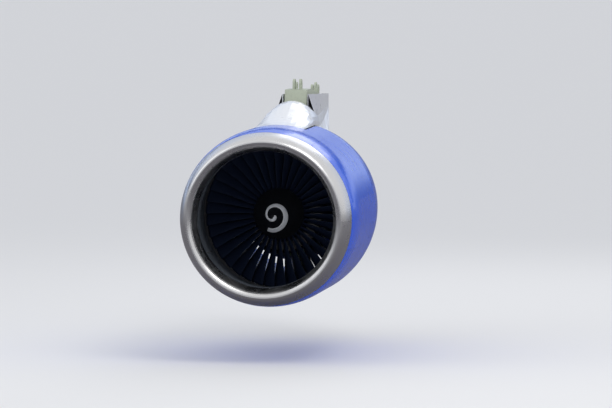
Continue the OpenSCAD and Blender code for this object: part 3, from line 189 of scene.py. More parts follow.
def turned(profile, count=180):
    """A closed profile of (radius, station) turned round the axis: P(i, j) = polar(r_j, s_j, a_i)."""
    profile = np.asarray(profile, float)
    r, s = profile.T
    if np.sum(r * np.roll(s, -1) - np.roll(r, -1) * s) < 0:
        r, s = r[::-1], s[::-1]
    angles = np.linspace(0, 2 * math.pi, count, endpoint=False)
    points = polar(r[None], s[None], angles[:, None]).reshape(-1, 3)
    return points, [grid_faces(count + 1, len(r)) % len(points)]


def joined(parts):
    """Several (points, faces) pairs as one pair, with the face numbers moved on."""
    points, faces, first = [], [], 0
    for p, fs in parts:
        points.append(p)
        faces += [np.asarray(f) + first for f in fs]
        first += len(p)
    return np.concatenate(points), faces


def spokes(u, v, sides):
    """Directions round a section, u cos a + v sin a at equal steps of a."""
    a = np.arange(sides) * 2 * math.pi / sides
    return u[..., None, :] * np.cos(a)[:, None] + v[..., None, :] * np.sin(a)[:, None]


def heads(centres, normals, radius, height, sides=8, shoulder=0.3, crown=0.72):
    """Low round heads: rings at centre + radius (u cos a + v sin a), u and v across the normal n, from
    just under the skin to the shoulder, and a smaller ring at the full height, closed by a flat top."""
    centres, normals = np.asarray(centres, float), unit(np.asarray(normals, float))
    ref = np.where(np.abs(normals[:, 1:2]) < 0.9, [[0.0, 1.0, 0.0]], [[1.0, 0.0, 0.0]])
    u = unit(np.cross(ref, normals))
    spoke, up = spokes(u, np.cross(normals, u), sides), normals[:, None]
    points = np.concatenate([centres[:, None] + radius * share * spoke + rise * up for share, rise in
                             ((1, -SINK), (1, shoulder * height), (crown, height))], 1).reshape(-1, 3)
    first = np.arange(len(centres))[:, None, None] * 3 * sides
    walls = (grid_faces(3, sides)[None] + first).reshape(-1, 4)
    caps = (np.arange(sides) + 2 * sides)[None] + first[:, :, 0]
    return points, [walls, caps]


def tubes(paths, radius, sides=10):
    """Round pipes along (n, m, 3) paths: ring j at p_j + radius (u cos a + v sin a), with u the
    direction away from the engine axis made square to the path, and flat ends."""
    paths = np.asarray(paths, float)
    t = unit(np.gradient(paths, axis=1))
    out = off_axis(paths)
    u = unit(out - np.sum(out * t, 2, keepdims=True) * t)
    points = paths[:, :, None] + radius * spokes(u, np.cross(t, u), sides)
    return points.reshape(-1, 3), bar_faces(*paths.shape[:2], sides)


def strips(line, out, width, height):
    """A raised band along an (m, 3) line: section of four corners, half a width to each side of the
    line across the surface direction out, from just under the skin to the height above it."""
    line, out = np.asarray(line, float), np.asarray(out, float)
    t = unit(np.gradient(line, axis=0))
    side = unit(np.cross(t, out))
    up = np.cross(side, t)
    corners = [(-1, height), (1, height), (1, -SINK), (-1, -SINK)]
    points = np.stack([line + side * (width / 2 * a) + up * b for a, b in corners], 1).reshape(-1, 3)
    return points, bar_faces(1, len(line), 4)


# Shader groups

def new_group(name, inputs, outputs):
    """A shader node group with named sockets; inputs are (name, type, default)."""
    group = bpy.data.node_groups.new(name, "ShaderNodeTree")
    for label, kind, default in inputs:
        socket = group.interface.new_socket(name=label, in_out="INPUT", socket_type=kind)
        socket.default_value = default
    for label, kind in outputs:
        group.interface.new_socket(name=label, in_out="OUTPUT", socket_type=kind)
    return group, group.nodes.new("NodeGroupInput"), group.nodes.new("NodeGroupOutput")


def set_socket(tree, value, socket):
    """Links a socket's value to another socket, or sets a plain value there."""
    if isinstance(value, bpy.types.NodeSocket):
        tree.links.new(value, socket)
    else:
        socket.default_value = value


def add_node(tree, kind, settings=None, **sockets):
    """A node with attributes from settings; sockets are given by name, or as i and their number."""
    node = tree.nodes.new(kind)
    for key, value in (settings or {}).items():
        setattr(node, key, value)
    for key, value in sockets.items():
        numbered = key[0] == "i" and key[1:].isdigit()
        set_socket(tree, value, node.inputs[int(key[1:]) if numbered else key.replace("_", " ")])
    return node


def group_node(tree, name, **sockets):
    """One of the shared groups placed in a tree."""
    return add_node(tree, "ShaderNodeGroup", {"node_tree": shared(name)}, **sockets)


def maths(tree, operation, a, b=0.0, c=0.0):
    """Result of a Math node."""
    return add_node(tree, "ShaderNodeMath", {"operation": operation}, i0=a, i1=b, i2=c).outputs[0]


def blended(tree, factor, a, b, mode="MIX"):
    """Colour a with colour b laid over it by the factor."""
    node = tree.nodes.new("ShaderNodeMix")
    node.data_type, node.blend_type = "RGBA", mode
    for number, value in ((0, factor), (6, a), (7, b)):
        set_socket(tree, value, node.inputs[number])
    return node.outputs[2]


def mixed(tree, factor, a, b):
    """Shader a where the factor is 0, shader b where it is 1."""
    node = tree.nodes.new("ShaderNodeMixShader")
    for number, value in enumerate((factor, a, b)):
        tree.links.new(value, node.inputs[number])
    return node.outputs[0]


def object_place(tree):
    """Object coordinates of the shaded point."""
    return tree.nodes.new("ShaderNodeTexCoord").outputs["Object"]


def surface_tone_group():
    """Colour varied by soft cloudy tone and by dirt drawn out along the air flow."""
    group, inp, out = new_group(
        "Surface tone",
        [("Base", "NodeSocketColor", (0.5, 0.5, 0.5, 1)),
         ("Dirt", "NodeSocketColor", (0.08, 0.07, 0.06, 1)),
         ("Tone", "NodeSocketFloat", 0.1), ("Streaks", "NodeSocketFloat", 0.1),
         ("Scale", "NodeSocketFloat", 1.5)],
        [("Color", "NodeSocketColor"), ("Mask", "NodeSocketFloat")])
    where = object_place(group)
    cloud = add_node(group, "ShaderNodeTexNoise", Vector=where, Scale=inp.outputs["Scale"], Detail=6.0,
                     Roughness=0.6)
    drawn = add_node(group, "ShaderNodeMapping", Vector=where, Scale=(9.0, 0.7, 9.0))
    streak = add_node(group, "ShaderNodeTexNoise", Vector=drawn.outputs[0], Scale=2.2, Detail=7.0,
                      Roughness=0.65)
    ramp = add_node(group, "ShaderNodeMapRange", Value=streak.outputs[0], From_Min=0.48, From_Max=0.8)
    dirt = maths(group, "MULTIPLY", ramp.outputs[0], inp.outputs["Streaks"])
    swing = maths(group, "MULTIPLY", maths(group, "SUBTRACT", cloud.outputs[0], 0.5), inp.outputs["Tone"])
    toned = add_node(group, "ShaderNodeVectorMath", {"operation": "SCALE"}, i0=inp.outputs["Base"])
    group.links.new(maths(group, "ADD", swing, 1.0), toned.inputs["Scale"])
    group.links.new(blended(group, dirt, toned.outputs[0], inp.outputs["Dirt"]), out.inputs["Color"])
    group.links.new(maths(group, "ADD", maths(group, "MULTIPLY", cloud.outputs[0], 0.5), dirt),
                    out.inputs["Mask"])
    return group


def fine_grain_group():
    """Fine even grain for bumps, and a wide one for roughness."""
    group, inp, out = new_group("Fine grain", [("Scale", "NodeSocketFloat", 200.0)],
                                [("Height", "NodeSocketFloat"), ("Spread", "NodeSocketFloat")])
    where = object_place(group)
    grain = add_node(group, "ShaderNodeTexNoise", Vector=where, Scale=inp.outputs["Scale"], Detail=3.0,
                     Roughness=0.55)
    wide = add_node(group, "ShaderNodeTexNoise", Vector=where, Scale=3.0, Detail=4.0, Roughness=0.6)
    group.links.new(grain.outputs[0], out.inputs["Height"])
    group.links.new(wide.outputs[0], out.inputs["Spread"])
    return group


def round_axis_group():
    """Angle, radius and station of a point about the engine axis."""
    group, _, out = new_group("Round the axis", [], [("Angle", "NodeSocketFloat"),
                                                     ("Radius", "NodeSocketFloat"),
                                                     ("Station", "NodeSocketFloat")])
    x, y, z = add_node(group, "ShaderNodeSeparateXYZ", i0=object_place(group)).outputs
    height = maths(group, "ADD", z, LUG_H)
    square = maths(group, "ADD", maths(group, "MULTIPLY", height, height), maths(group, "MULTIPLY", x, x))
    group.links.new(maths(group, "ARCTAN2", height, x), out.inputs["Angle"])
    group.links.new(maths(group, "SQRT", square), out.inputs["Radius"])
    group.links.new(maths(group, "ADD", y, LUG_S), out.inputs["Station"])
    return group


def spun_metal_group():
    """Hair lines left by polishing round the lip: noise squeezed along radius and station."""
    group, inp, out = new_group("Spun metal", [("Fineness", "NodeSocketFloat", 260.0)],
                                [("Height", "NodeSocketFloat")])
    where, fine = group_node(group, "axis"), inp.outputs["Fineness"]
    vector = add_node(group, "ShaderNodeCombineXYZ", i0=where.outputs["Angle"],
                      i1=maths(group, "MULTIPLY", where.outputs["Radius"], fine),
                      i2=maths(group, "MULTIPLY", where.outputs["Station"], fine))
    hair = add_node(group, "ShaderNodeTexNoise", Vector=vector.outputs[0], Scale=1.0, Detail=3.0,
                    Roughness=0.6)
    group.links.new(hair.outputs[0], out.inputs["Height"])
    return group


def holes_group():
    """Rows of small round holes on a liner: one hole in each cell of angle times radius by station."""
    group, inp, out = new_group("Liner holes",
                                [("Pitch", "NodeSocketFloat", 0.012), ("Share", "NodeSocketFloat", 0.3)],
                                [("Mask", "NodeSocketFloat")])
    where, pitch, liner_r = group_node(group, "axis"), inp.outputs["Pitch"], 1.12
    around = maths(group, "DIVIDE", maths(group, "MULTIPLY", where.outputs["Angle"], liner_r), pitch)
    along = maths(group, "DIVIDE", where.outputs["Station"], pitch)
    x, y = (maths(group, "SUBTRACT", maths(group, "FRACT", cell), 0.5) for cell in (around, along))
    far = maths(group, "SQRT", maths(group, "ADD", maths(group, "MULTIPLY", x, x),
                                     maths(group, "MULTIPLY", y, y)))
    edge = maths(group, "SUBTRACT", inp.outputs["Share"], far)
    soft = add_node(group, "ShaderNodeMapRange", Value=edge, From_Min=-0.04, From_Max=0.04)
    group.links.new(soft.outputs[0], out.inputs["Mask"])
    return group


GROUPS = {}
GROUP_MAKERS = {"tone": surface_tone_group, "grain": fine_grain_group, "axis": round_axis_group,
                "spun": spun_metal_group, "holes": holes_group}


def shared(name):
    """A shader group by its short name, built on first use."""
    if name not in GROUPS:
        GROUPS[name] = GROUP_MAKERS[name]()
    return GROUPS[name]


# Finishes

def finish_of(name, base, roughness, metallic=0.0, coat=0.0, specular=0.5, tone=0.12, streaks=0.08,
              dirt=(0.06, 0.055, 0.05), scale=1.5, grain=220.0, bump=0.02, spread=0.12):
    """A material with toned colour, spread roughness and grain bump; returns it with its tree and shader."""
    material = bpy.data.materials.new(name)
    material.use_nodes = True
    tree = material.node_tree
    shader = tree.nodes["Principled BSDF"]
    shader.inputs["Metallic"].default_value = metallic
    shader.inputs["Coat Weight"].default_value = coat
    shader.inputs["Coat Roughness"].default_value = 0.04
    shader.inputs["Specular IOR Level"].default_value = specular
    tones = group_node(tree, "tone", Base=(*base, 1), Dirt=(*dirt, 1), Tone=tone, Streaks=streaks,
                       Scale=scale)
    grains = group_node(tree, "grain", Scale=grain)
    tree.links.new(tones.outputs["Color"], shader.inputs["Base Color"])
    rough = add_node(tree, "ShaderNodeMapRange", Value=grains.outputs["Spread"], From_Min=0.3, From_Max=0.7,
                     To_Min=max(0.02, roughness - spread / 2), To_Max=roughness + spread / 2)
    tree.links.new(rough.outputs[0], shader.inputs["Roughness"])
    if bump:
        dent(tree, shader, grains.outputs["Height"], bump, 0.001)
    return material, tree, shader


def dent(tree, shader, height, strength, depth):
    """Bumps the surface by a height from 0 to 1."""
    relief = add_node(tree, "ShaderNodeBump", Strength=strength, Distance=depth, Height=height)
    tree.links.new(relief.outputs[0], shader.inputs["Normal"])


def cowl_paint(base):
    """Gloss paint under clear coat, with light dust drawn back along the cowls."""
    return finish_of("Cowl paint", base, 0.22, coat=0.35, specular=0.3, tone=0.06, streaks=0.03, scale=0.8,
                     dirt=(0.10, 0.13, 0.22), grain=30.0, bump=0.0, spread=0.05)[0]


def lip_metal(base):
    """Polished aluminium skin, spun hair lines and cloudy weathering behind the leading edge."""
    material, tree, shader = finish_of("Polished lip", base, 0.30, metallic=1.0, tone=0.09, streaks=0.05,
                                       scale=2.6, dirt=(0.33, 0.31, 0.29), grain=90.0, bump=0.0,
                                       spread=0.16)
    dent(tree, shader, group_node(tree, "spun", Fineness=300.0).outputs[0], 0.05, 0.0006)
    return material


def liner_finish(name, base, pitch, roughness):
    """Sound-absorbing face sheet: rows of drilled holes that dent the sheet, with painted shade darkening
    each hole.
    """
    material, tree, shader = finish_of(name, base, roughness, metallic=0.3, tone=0.07, streaks=0.05,
                                       bump=0.0)
    holes = group_node(tree, "holes", Pitch=pitch, Share=0.26)
    tones = shader.inputs["Base Color"].links[0].from_socket
    # Painted shade: each hole takes a quarter of the sheet's colour, standing for the shade inside it
    hole_shade = (*(0.25 * part for part in base), 1)
    tree.links.new(blended(tree, holes.outputs[0], tones, hole_shade), shader.inputs["Base Color"])
    dent(tree, shader, maths(tree, "SUBTRACT", 1.0, holes.outputs[0]), 0.35, 0.001)
    return material


HEAT_TINTS = ((0.35, (0.95, 0.82, 0.62, 1)), (0.62, (0.62, 0.44, 0.34, 1)), (0.82, (0.42, 0.40, 0.58, 1)))


def hot_metal(name, base, first, last):
    """Nickel alloy stained by heat: straw, brown and blue bands from one station to another."""
    material, tree, shader = finish_of(name, base, 0.36, metallic=0.9, tone=0.25, streaks=0.3,
                                       dirt=(0.10, 0.075, 0.05), scale=3.0, grain=160.0, bump=0.05)
    station = group_node(tree, "axis").outputs["Station"]
    share = add_node(tree, "ShaderNodeMapRange", Value=station, From_Min=first, From_Max=last)
    wave = add_node(tree, "ShaderNodeTexNoise", Vector=object_place(tree), Scale=4.0, Detail=4.0)
    shifted = maths(tree, "ADD", share.outputs[0],
                    maths(tree, "MULTIPLY", maths(tree, "SUBTRACT", wave.outputs[0], 0.5), 0.35))
    ramp = tree.nodes.new("ShaderNodeValToRGB")
    ramp.color_ramp.elements[0].color = (1, 1, 1, 1)
    ramp.color_ramp.elements[1].color = (0.50, 0.52, 0.66, 1)
    for place, tint in HEAT_TINTS:
        ramp.color_ramp.elements.new(place).color = tint
    tree.links.new(shifted, ramp.inputs[0])
    tones = shader.inputs["Base Color"].links[0].from_socket
    tree.links.new(blended(tree, 0.8, tones, ramp.outputs[0], "MULTIPLY"), shader.inputs["Base Color"])
    return material


def woven_composite(name, base):
    """Dark moulded composite with a fine checked weave."""
    material, tree, shader = finish_of(name, base, 0.42, tone=0.15, streaks=0.05, bump=0.0)
    weave = add_node(tree, "ShaderNodeTexChecker", Vector=object_place(tree), Scale=190.0,
                     Color1=(0, 0, 0, 1), Color2=(1, 1, 1, 1))
    dent(tree, shader, weave.outputs["Fac"], 0.15, 0.0008)
    return material


PLAIN_FINISHES = {
    "white": ("Pylon paint", (0.74, 0.76, 0.79), 0.32,
              dict(coat=0.6, tone=0.06, streaks=0.10, dirt=(0.34, 0.33, 0.31), grain=40.0)),
    "spinner": ("Spinner black", (0.007, 0.008, 0.011), 0.5,
                dict(coat=0.15, specular=0.25, tone=0.25, streaks=0.1, dirt=(0.03, 0.03, 0.03),
                     grain=120.0)),
    "structure": ("Primed structure", (0.42, 0.46, 0.36), 0.5, dict(tone=0.15, streaks=0.2, grain=90.0)),
    "machined": ("Machined steel", (0.46, 0.46, 0.47), 0.33,
                 dict(metallic=0.9, tone=0.15, streaks=0.15, grain=300.0, bump=0.04)),
    "vane": ("Vane metal", (0.10, 0.105, 0.115), 0.4, dict(metallic=0.6, tone=0.2, streaks=0.15)),
    "case": ("Cast case", (0.40, 0.39, 0.36), 0.48,
             dict(metallic=0.7, tone=0.25, streaks=0.3, scale=4.0, grain=140.0, bump=0.12)),
    "casting": ("Gearbox casting", (0.52, 0.53, 0.50), 0.5,
                dict(metallic=0.5, tone=0.15, streaks=0.25, grain=110.0, bump=0.15)),
    "unit": ("Unit enamel", (0.06, 0.07, 0.08), 0.4, dict(tone=0.15, streaks=0.1, grain=160.0)),
    "steel": ("Bright steel", (0.62, 0.62, 0.63), 0.28,
              dict(metallic=1.0, tone=0.1, streaks=0.1, grain=320.0)),
    "sealant": ("Joint sealant", (0.03, 0.032, 0.035), 0.6, dict(tone=0.2, streaks=0.05, grain=200.0)),
    "belt": ("Rub strip", (0.05, 0.05, 0.055), 0.7,
             dict(tone=0.3, streaks=0.25, dirt=(0.11, 0.1, 0.09), grain=240.0, bump=0.15)),
    "harness": ("Harness sleeve", (0.10, 0.09, 0.07), 0.65,
                dict(tone=0.2, streaks=0.1, grain=420.0, bump=0.3)),
}

# These have patterns of their own, or take their colour from the settings
MADE_FINISHES = {
    "paint": lambda scene: cowl_paint(tuple(scene.jet_cowl.paint)),
    "lip": lambda scene: lip_metal(tuple(scene.jet_cowl.lip)),
    # Fan blades: painted shade, a near-black colour that stands for the shade deep in the inlet, not the grey
    # of titanium
    "blade": lambda scene: finish_of("Fan titanium in painted shade", tuple(scene.jet_fan.blade), 0.42, metallic=0.35,
                                     specular=0.25, tone=0.3, streaks=0.05, grain=120.0, bump=0.03)[0],
    "spiral": lambda scene: finish_of("Spiral white", tuple(scene.jet_fan.spiral), 0.45, tone=0.08,
                                      streaks=0.12, dirt=(0.25, 0.25, 0.24), grain=200.0)[0],
    "inlet": lambda scene: liner_finish("Inlet liner", (0.10, 0.115, 0.14), 0.012, 0.48),
    "duct": lambda scene: liner_finish("Duct liner", (0.38, 0.40, 0.42), 0.014, 0.45),
    "hot": lambda scene: hot_metal("Hot section", (0.44, 0.41, 0.37), 3.9, 4.9),
    "nozzle": lambda scene: hot_metal("Nozzle metal", (0.50, 0.47, 0.43), 4.9, 5.45),
    "plug": lambda scene: hot_metal("Plug metal", (0.42, 0.40, 0.38), 4.8, 5.8),
    "composite": lambda scene: woven_composite("Cascade composite", (0.045, 0.048, 0.052)),
}

FINISHES = {}


def finish(name):
    """A finished material by its plain name, made on first use."""
    if name not in FINISHES and name in PLAIN_FINISHES:
        label, base, roughness, extra = PLAIN_FINISHES[name]
        FINISHES[name] = finish_of(label, base, roughness, **extra)[0]
    elif name not in FINISHES:
        FINISHES[name] = MADE_FINISHES[name](bpy.context.scene)
    return FINISHES[name]


# Nodes that aren't named here are blocker doors, with the duct's liner, or plain machined parts
FINISHED_NODES = {
    "paint": ("inlet_outer_barrel", "fan_cowl_right", "fan_cowl_left", "sleeve_right", "sleeve_left"),
    "lip": ("inlet_lip",),
    "white": ("pylon_fairing", "pylon_aft_fairing"),
    "inlet": ("inlet_inner_barrel",),
    "duct": ("reverser_frame_right", "reverser_frame_left"),
    "blade": ("fan_blades",),
    "spinner": ("spinner",),
    "spiral": ("spinner_spiral",),
    "structure": ("inlet_bulkheads", "fan_frame", "cowl_support_beam", "pylon_box"),
    "vane": ("fan_case", "outlet_guide_vanes", "splitter_fairing"),
    "case": ("booster_case", "compressor_case", "combustion_case"),
    "hot": ("combustor_liner", "turbine_case", "high_turbine_rotor", "lp_turbine_rotor",
            "turbine_rear_frame"),
    "nozzle": ("primary_nozzle",),
    "plug": ("exhaust_plug",),
    "casting": ("accessory_gearbox", "starter", "oil_tank"),
    "unit": ("generator", "hydraulic_pump", "control_unit"),
    "composite": ("cascade_right", "cascade_left"),
    "steel": ("lp_bearing_rollers", "fan_cowl_latch_front", "fan_cowl_latch_middle",
              "fan_cowl_latch_rear", "thrust_links"),
}
NODE_FINISH = {node: kind for kind, nodes in FINISHED_NODES.items() for node in nodes}


class JET_OT_finishes(bpy.types.Operator):
    """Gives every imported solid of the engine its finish"""
    bl_idname = "jet.finishes"
    bl_label = "Finish the solids"

    def execute(self, context):
        for name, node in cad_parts.items():
            kind = NODE_FINISH.get(name, "duct" if name.startswith("blocker_door") else "machined")
            node.data.materials.clear()
            node.data.materials.append(finish(kind))
        return {"FINISHED"}


# Fan and spinner

FOOT_S, FOOT_LEN, ROOT_R = 1.568, 0.232, 0.330      # dovetail feet in the slots of the disk
FOOT_ROWS = ((0.0, 0.017), (0.012, 0.017), (0.024, 0.009), (0.050, 0.009))    # height, half width
PLATFORM_DROPS = (0.014, 0.0005)                    # under and top side, below the rim's surface
CLEAR = 0.0005                                      # from platform to platform, and to the blade
STAGGER = (14, 61)                                  # degrees at the root and the tip
THICK, CAMBER = (0.017, 0.006), (0.1, 0.03)         # thickness, and height of the bow per chord
CHORD_AT, CHORD = (0, 0.55, 1), (0.200, 0.190, 0.262)
NEAR_ROOT, EVEN_FROM = (0.026, 0.026, 0.05, 0.1), 0.18      # shares of the span, the first on the platform
HALF_AT = (0, 0.03, 0.12, 0.3, 0.5, 0.7, 0.9, 1)    # places on the chord for the next row
HALF = (0.12, 0.24, 0.38, 0.5, 0.48, 0.4, 0.2, 0.1)         # half width there, per thickness


def between(ends, share):
    """Value between two ends at a share from 0 to 1."""
    return ends[0] + (ends[1] - ends[0]) * share


def blade_sections(settings):
    """Closed sections of one blade, foot to tip, as (rows, points, 3) in (radial, station, across) metres.
    Aerofoil at height h: point = (x - 1/2) chord along the setting angle, camber 4 x (1 - x) c and half
    thickness t(x) across it, put on the cylinder of the row's radius."""
    n = settings.cuts
    x = (1 - np.cos(np.linspace(0, math.pi, n))) / 2
    both = np.concatenate([x, x[::-1]])
    sign = np.concatenate([np.ones(n), -np.ones(n)])
    foot = FOOT_S + FOOT_LEN * both
    blocks = [(np.full(2 * n, ROOT_R + rise), half) for rise, half in FOOT_ROWS]
    for drop in PLATFORM_DROPS:
        r = rim_r(foot) - drop
        blocks.append((r, r * math.sin(math.pi / BLADES) - CLEAR))
    rows = [np.stack([np.sqrt(r * r - half * half), foot, -sign * half], -1) for r, half in blocks]
    heights = np.concatenate([NEAR_ROOT, np.linspace(EVEN_FROM, 1, settings.rows - len(NEAR_ROOT) + 1)])
    for k, h in enumerate(heights):
        chord, g = np.interp(h, CHORD_AT, CHORD), math.radians(between(STAGGER, h ** 0.8))
        half = between(THICK, h) * np.interp(both, HALF_AT, HALF)
        across = between(CAMBER, h) * 4 * both * (1 - both) * chord + sign * half
        u = (both - 0.5) * chord
        s = FOOT_S + FOOT_LEN / 2 + u * math.cos(g) - across * math.sin(g)
        z = -(u * math.sin(g) + across * math.cos(g))
        r = rim_r(s) + CLEAR if k == 0 else np.full(2 * n, between((SPINNER_R, FAN_R), h))
        rows.append(np.stack([np.sqrt(r * r - z * z), s, z], -1))
    return np.array(rows)


# Marks of the spiral from its inner end: angle in degrees, radius of its middle, half its width
SPIRAL = np.array([(395, 0.012, 0.016), (340, 0.026, 0.026), (285, 0.048, 0.029), (240, 0.080, 0.026),
                   (206, 0.112, 0.022), (180, 0.130, 0.021), (135, 0.148, 0.022), (90, 0.156, 0.024),
                   (45, 0.158, 0.027), (0, 0.163, 0.030), (-49, 0.190, 0.033), (-90, 0.240, 0.035),
                   (-122, 0.283, 0.036)])


def spiral_ribbon(height, cuts=260, points_across=9, soften=21, round_off=0.35, smallest_r=0.004):
    """Painted comma on the spinner: a path r(a) turning clockwise outward, its radii and half widths
    eased between the marks and its inner end rounded off over an angle, lifted off the cone by the
    height. Cone: station = tip + r / k."""
    k = SPINNER_R / SPINNER_LEN
    marks = np.radians(SPIRAL[:, 0])
    a = np.linspace(marks[0], marks[-1], cuts)
    near = np.ones(soften) / soften
    r, w = (np.convolve(np.pad(np.interp(-a, -marks, v), soften // 2, mode="edge"), near, mode="valid")
            for v in SPIRAL[:, 1:].T)
    w = w * np.sqrt(np.clip((marks[0] - a) / round_off, 0.05, 1))
    across = np.clip(r[:, None] + w[:, None] * np.linspace(-1, 1, points_across), smallest_r, None)

    def lifted(h):
        """The ribbon at a height h square to the cone."""
        out, back = h / math.hypot(1, k), -h * k / math.hypot(1, k)
        return polar(across + out, SPINNER_S - SPINNER_LEN + across / k + back, a[:, None])

    section = np.concatenate([lifted(-SINK), lifted(height)[:, ::-1]], 1)
    return section.reshape(-1, 3), bar_faces(1, *section.shape[:2])


class JET_OT_fan(bpy.types.Operator):
    """Builds the fan blades as smooth twisted aerofoils, and the painted comma of the spinner"""
    bl_idname = "jet.fan"
    bl_label = "Fan blades"

    def execute(self, context):
        rows = blade_sections(context.scene.jet_fan)
        m, n = rows.shape[:2]
        angles = (np.arange(BLADES) + 0.5) * 2 * math.pi / BLADES
        c, s = np.cos(angles)[:, None, None], np.sin(angles)[:, None, None]
        out, station, across = (rows[None, :, :, k] for k in range(3))
        points = np.stack([out * c - across * s, np.broadcast_to(station - LUG_S, (BLADES, m, n)),
                           out * s + across * c + AXIS_Z], -1)
        fan = put_piece("fan_blade_set", points, bar_faces(BLADES, m, n), finish("blade"), "lp_spool",
                        "fan_titanium", replaces=("fan_blades",))
        flat_rows = len(FOOT_ROWS) + len(PLATFORM_DROPS) - 1
        curved = np.tile(np.repeat(np.arange(m - 1) >= flat_rows, n), BLADES)
        fan.data.polygons.foreach_set("use_smooth", np.r_[curved, np.zeros(2 * BLADES, bool)])
        put_piece("spiral_paint", *spiral_ribbon(height=0.0012), finish("spiral"), "lp_spool", "spiral_white",
                  replaces=("spinner_spiral",))
        return {"FINISHED"}


# Joints and fasteners

FULL_RING = 2 * math.pi * (1 - 1 / 120)       # a ring of heads ends one step before its start
BARREL_SPLICES = np.radians((58, 122, 200, 340))
LINER_SPLICES = np.radians((90, 210, 330))
BELT_S = (1.552, 1.810)                       # rub strip round the blade tips
HEAD_HEIGHT, SEAM_HEIGHT, LOCK_R = 0.0004, 0.0003, 0.008
SPLICE_SEAM, PANEL_SEAM = 0.0025, 0.003       # widths of the sealed joints
WIDEST = BELLY_R - 0.0015                     # heads further out or lower than this are left out
# Access panels by side: stations from and to, and angles from and to in radians above the side
PANELS = {"right": ((1.70, 1.98, 0.42, 0.62), (2.10, 2.34, -0.30, -0.12), (1.66, 1.84, -0.95, -0.80)),
          "left": ((1.64, 1.96, 0.30, 0.46), (2.06, 2.30, 0.62, 0.80), (2.02, 2.30, -0.85, -0.62))}
LOCKS, LOCK_IN_S, LOCK_IN_A = 4, 0.03, 0.012  # locks along a panel edge, their insets along and across
COWL_EDGE_AT, SLEEVE_EDGE_AT = (1.6, 2.4), 2.7     # where the top rows take their angle


def skin_normal(s, angle, step=0.002):
    """Outward direction of the cowl skin, across the slope of its line in the station direction."""
    slope = (outer_r(s + step) - outer_r(s - step)) / (2 * step)
    s, angle, slope = np.broadcast_arrays(s, angle, slope)
    return unit(np.stack([np.cos(angle), -slope, np.sin(angle)], -1))


def head_row(s0, s1, a0, a1, spacing):
    """Evenly spaced points on the cowl skin from (station, angle) to (station, angle)."""
    n = max(2, int(math.hypot(s1 - s0, float(outer_r((s0 + s1) / 2)) * (a1 - a0)) / spacing) + 1)
    return np.stack([np.linspace(s0, s1, n), np.linspace(a0, a1, n)], -1)


def skin_heads(name, rows, radius, material, body, slot):
    """Flush fasteners on the cowl skin, one low head per point of the rows; heads that would stand
    past the widest line of the cowls are left out."""
    s, a = np.concatenate(rows).T
    keep = (np.abs(outer_r(s) * np.cos(a)) < WIDEST) & (outer_r(s) * np.sin(a) > -WIDEST)
    s, a = s[keep], a[keep]
    points, faces = heads(polar(outer_r(s), s, a), skin_normal(s, a), radius, HEAD_HEIGHT)
    return put_piece(name, points, faces, material, body, slot, smooth=False)


def skin_seam(s, a, width):
    """Sealed joint on the cowl skin along (station, angle) points."""
    return strips(polar(outer_r(s), s, a), skin_normal(s, a), width, SEAM_HEIGHT)


def edge_angle(x, s):
    """Angle at which the cowl skin lies at a distance x from the middle plane, upper side."""
    return math.acos(min(1.0, x / float(outer_r(s))))


def sided(side, angle):
    """An angle on the right side as it is, or its mirror image for the left, pi - a."""
    return angle if side == "right" else math.pi - angle


def panel_loop(s0, s1, a0, a1, corner=0.25):
    """Rounded rectangle on the cowl skin as a closed row of (station, angle), a superellipse
    |u|^n + |v|^n = 1 with n = 2 / corner."""
    t = np.linspace(0, 2 * math.pi, num=73)
    u = np.sign(np.cos(t)) * np.abs(np.cos(t)) ** corner
    v = np.sign(np.sin(t)) * np.abs(np.sin(t)) ** corner
    return (s0 + s1) / 2 + u * (s1 - s0) / 2, (a0 + a1) / 2 + v * (a1 - a0) / 2


def inlet_joints(radius, step):
    """Heads beside the lip joint, the rear edge and the splices of the barrel, and their seals."""
    lip_row, barrel_rows = LIP_S - 0.013, (LIP_S + 0.016, COWL_S - 0.089, COWL_S - 0.032)
    skin_heads("lip_fasteners", [head_row(lip_row, lip_row, 0, FULL_RING, step)], radius,
               finish("steel"), "engine", "polished_lip")
    rings = [head_row(s, s, 0, FULL_RING, step) for s in barrel_rows]
    fore, aft, beside = LIP_S + 0.060, COWL_S - 0.084, 0.011
    splices = [head_row(fore, aft, a + turn, a + turn, step) for a in BARREL_SPLICES
               for turn in (-beside, beside)]
    skin_heads("barrel_fasteners", rings + splices, radius, finish("paint"), "engine", "blue_paint")
    s = np.linspace(LIP_S + 0.002, COWL_S - 0.012, num=60)
    seams = [skin_seam(s, np.full(len(s), a), SPLICE_SEAM) for a in BARREL_SPLICES]
    put_piece("barrel_splice_seams", *joined(seams), finish("sealant"), "engine", "structure")
    half_gap, proud, deep = 0.0014, 0.0004, 0.0020
    top, bottom = outer_r(LIP_S) + proud, outer_r(LIP_S) - deep
    fore, aft = LIP_S - half_gap, LIP_S + half_gap
    ring = turned([(top, fore), (top, aft), (bottom, aft), (bottom, fore)])
    put_piece("lip_joint_seal", *ring, finish("sealant"), "engine", "structure")


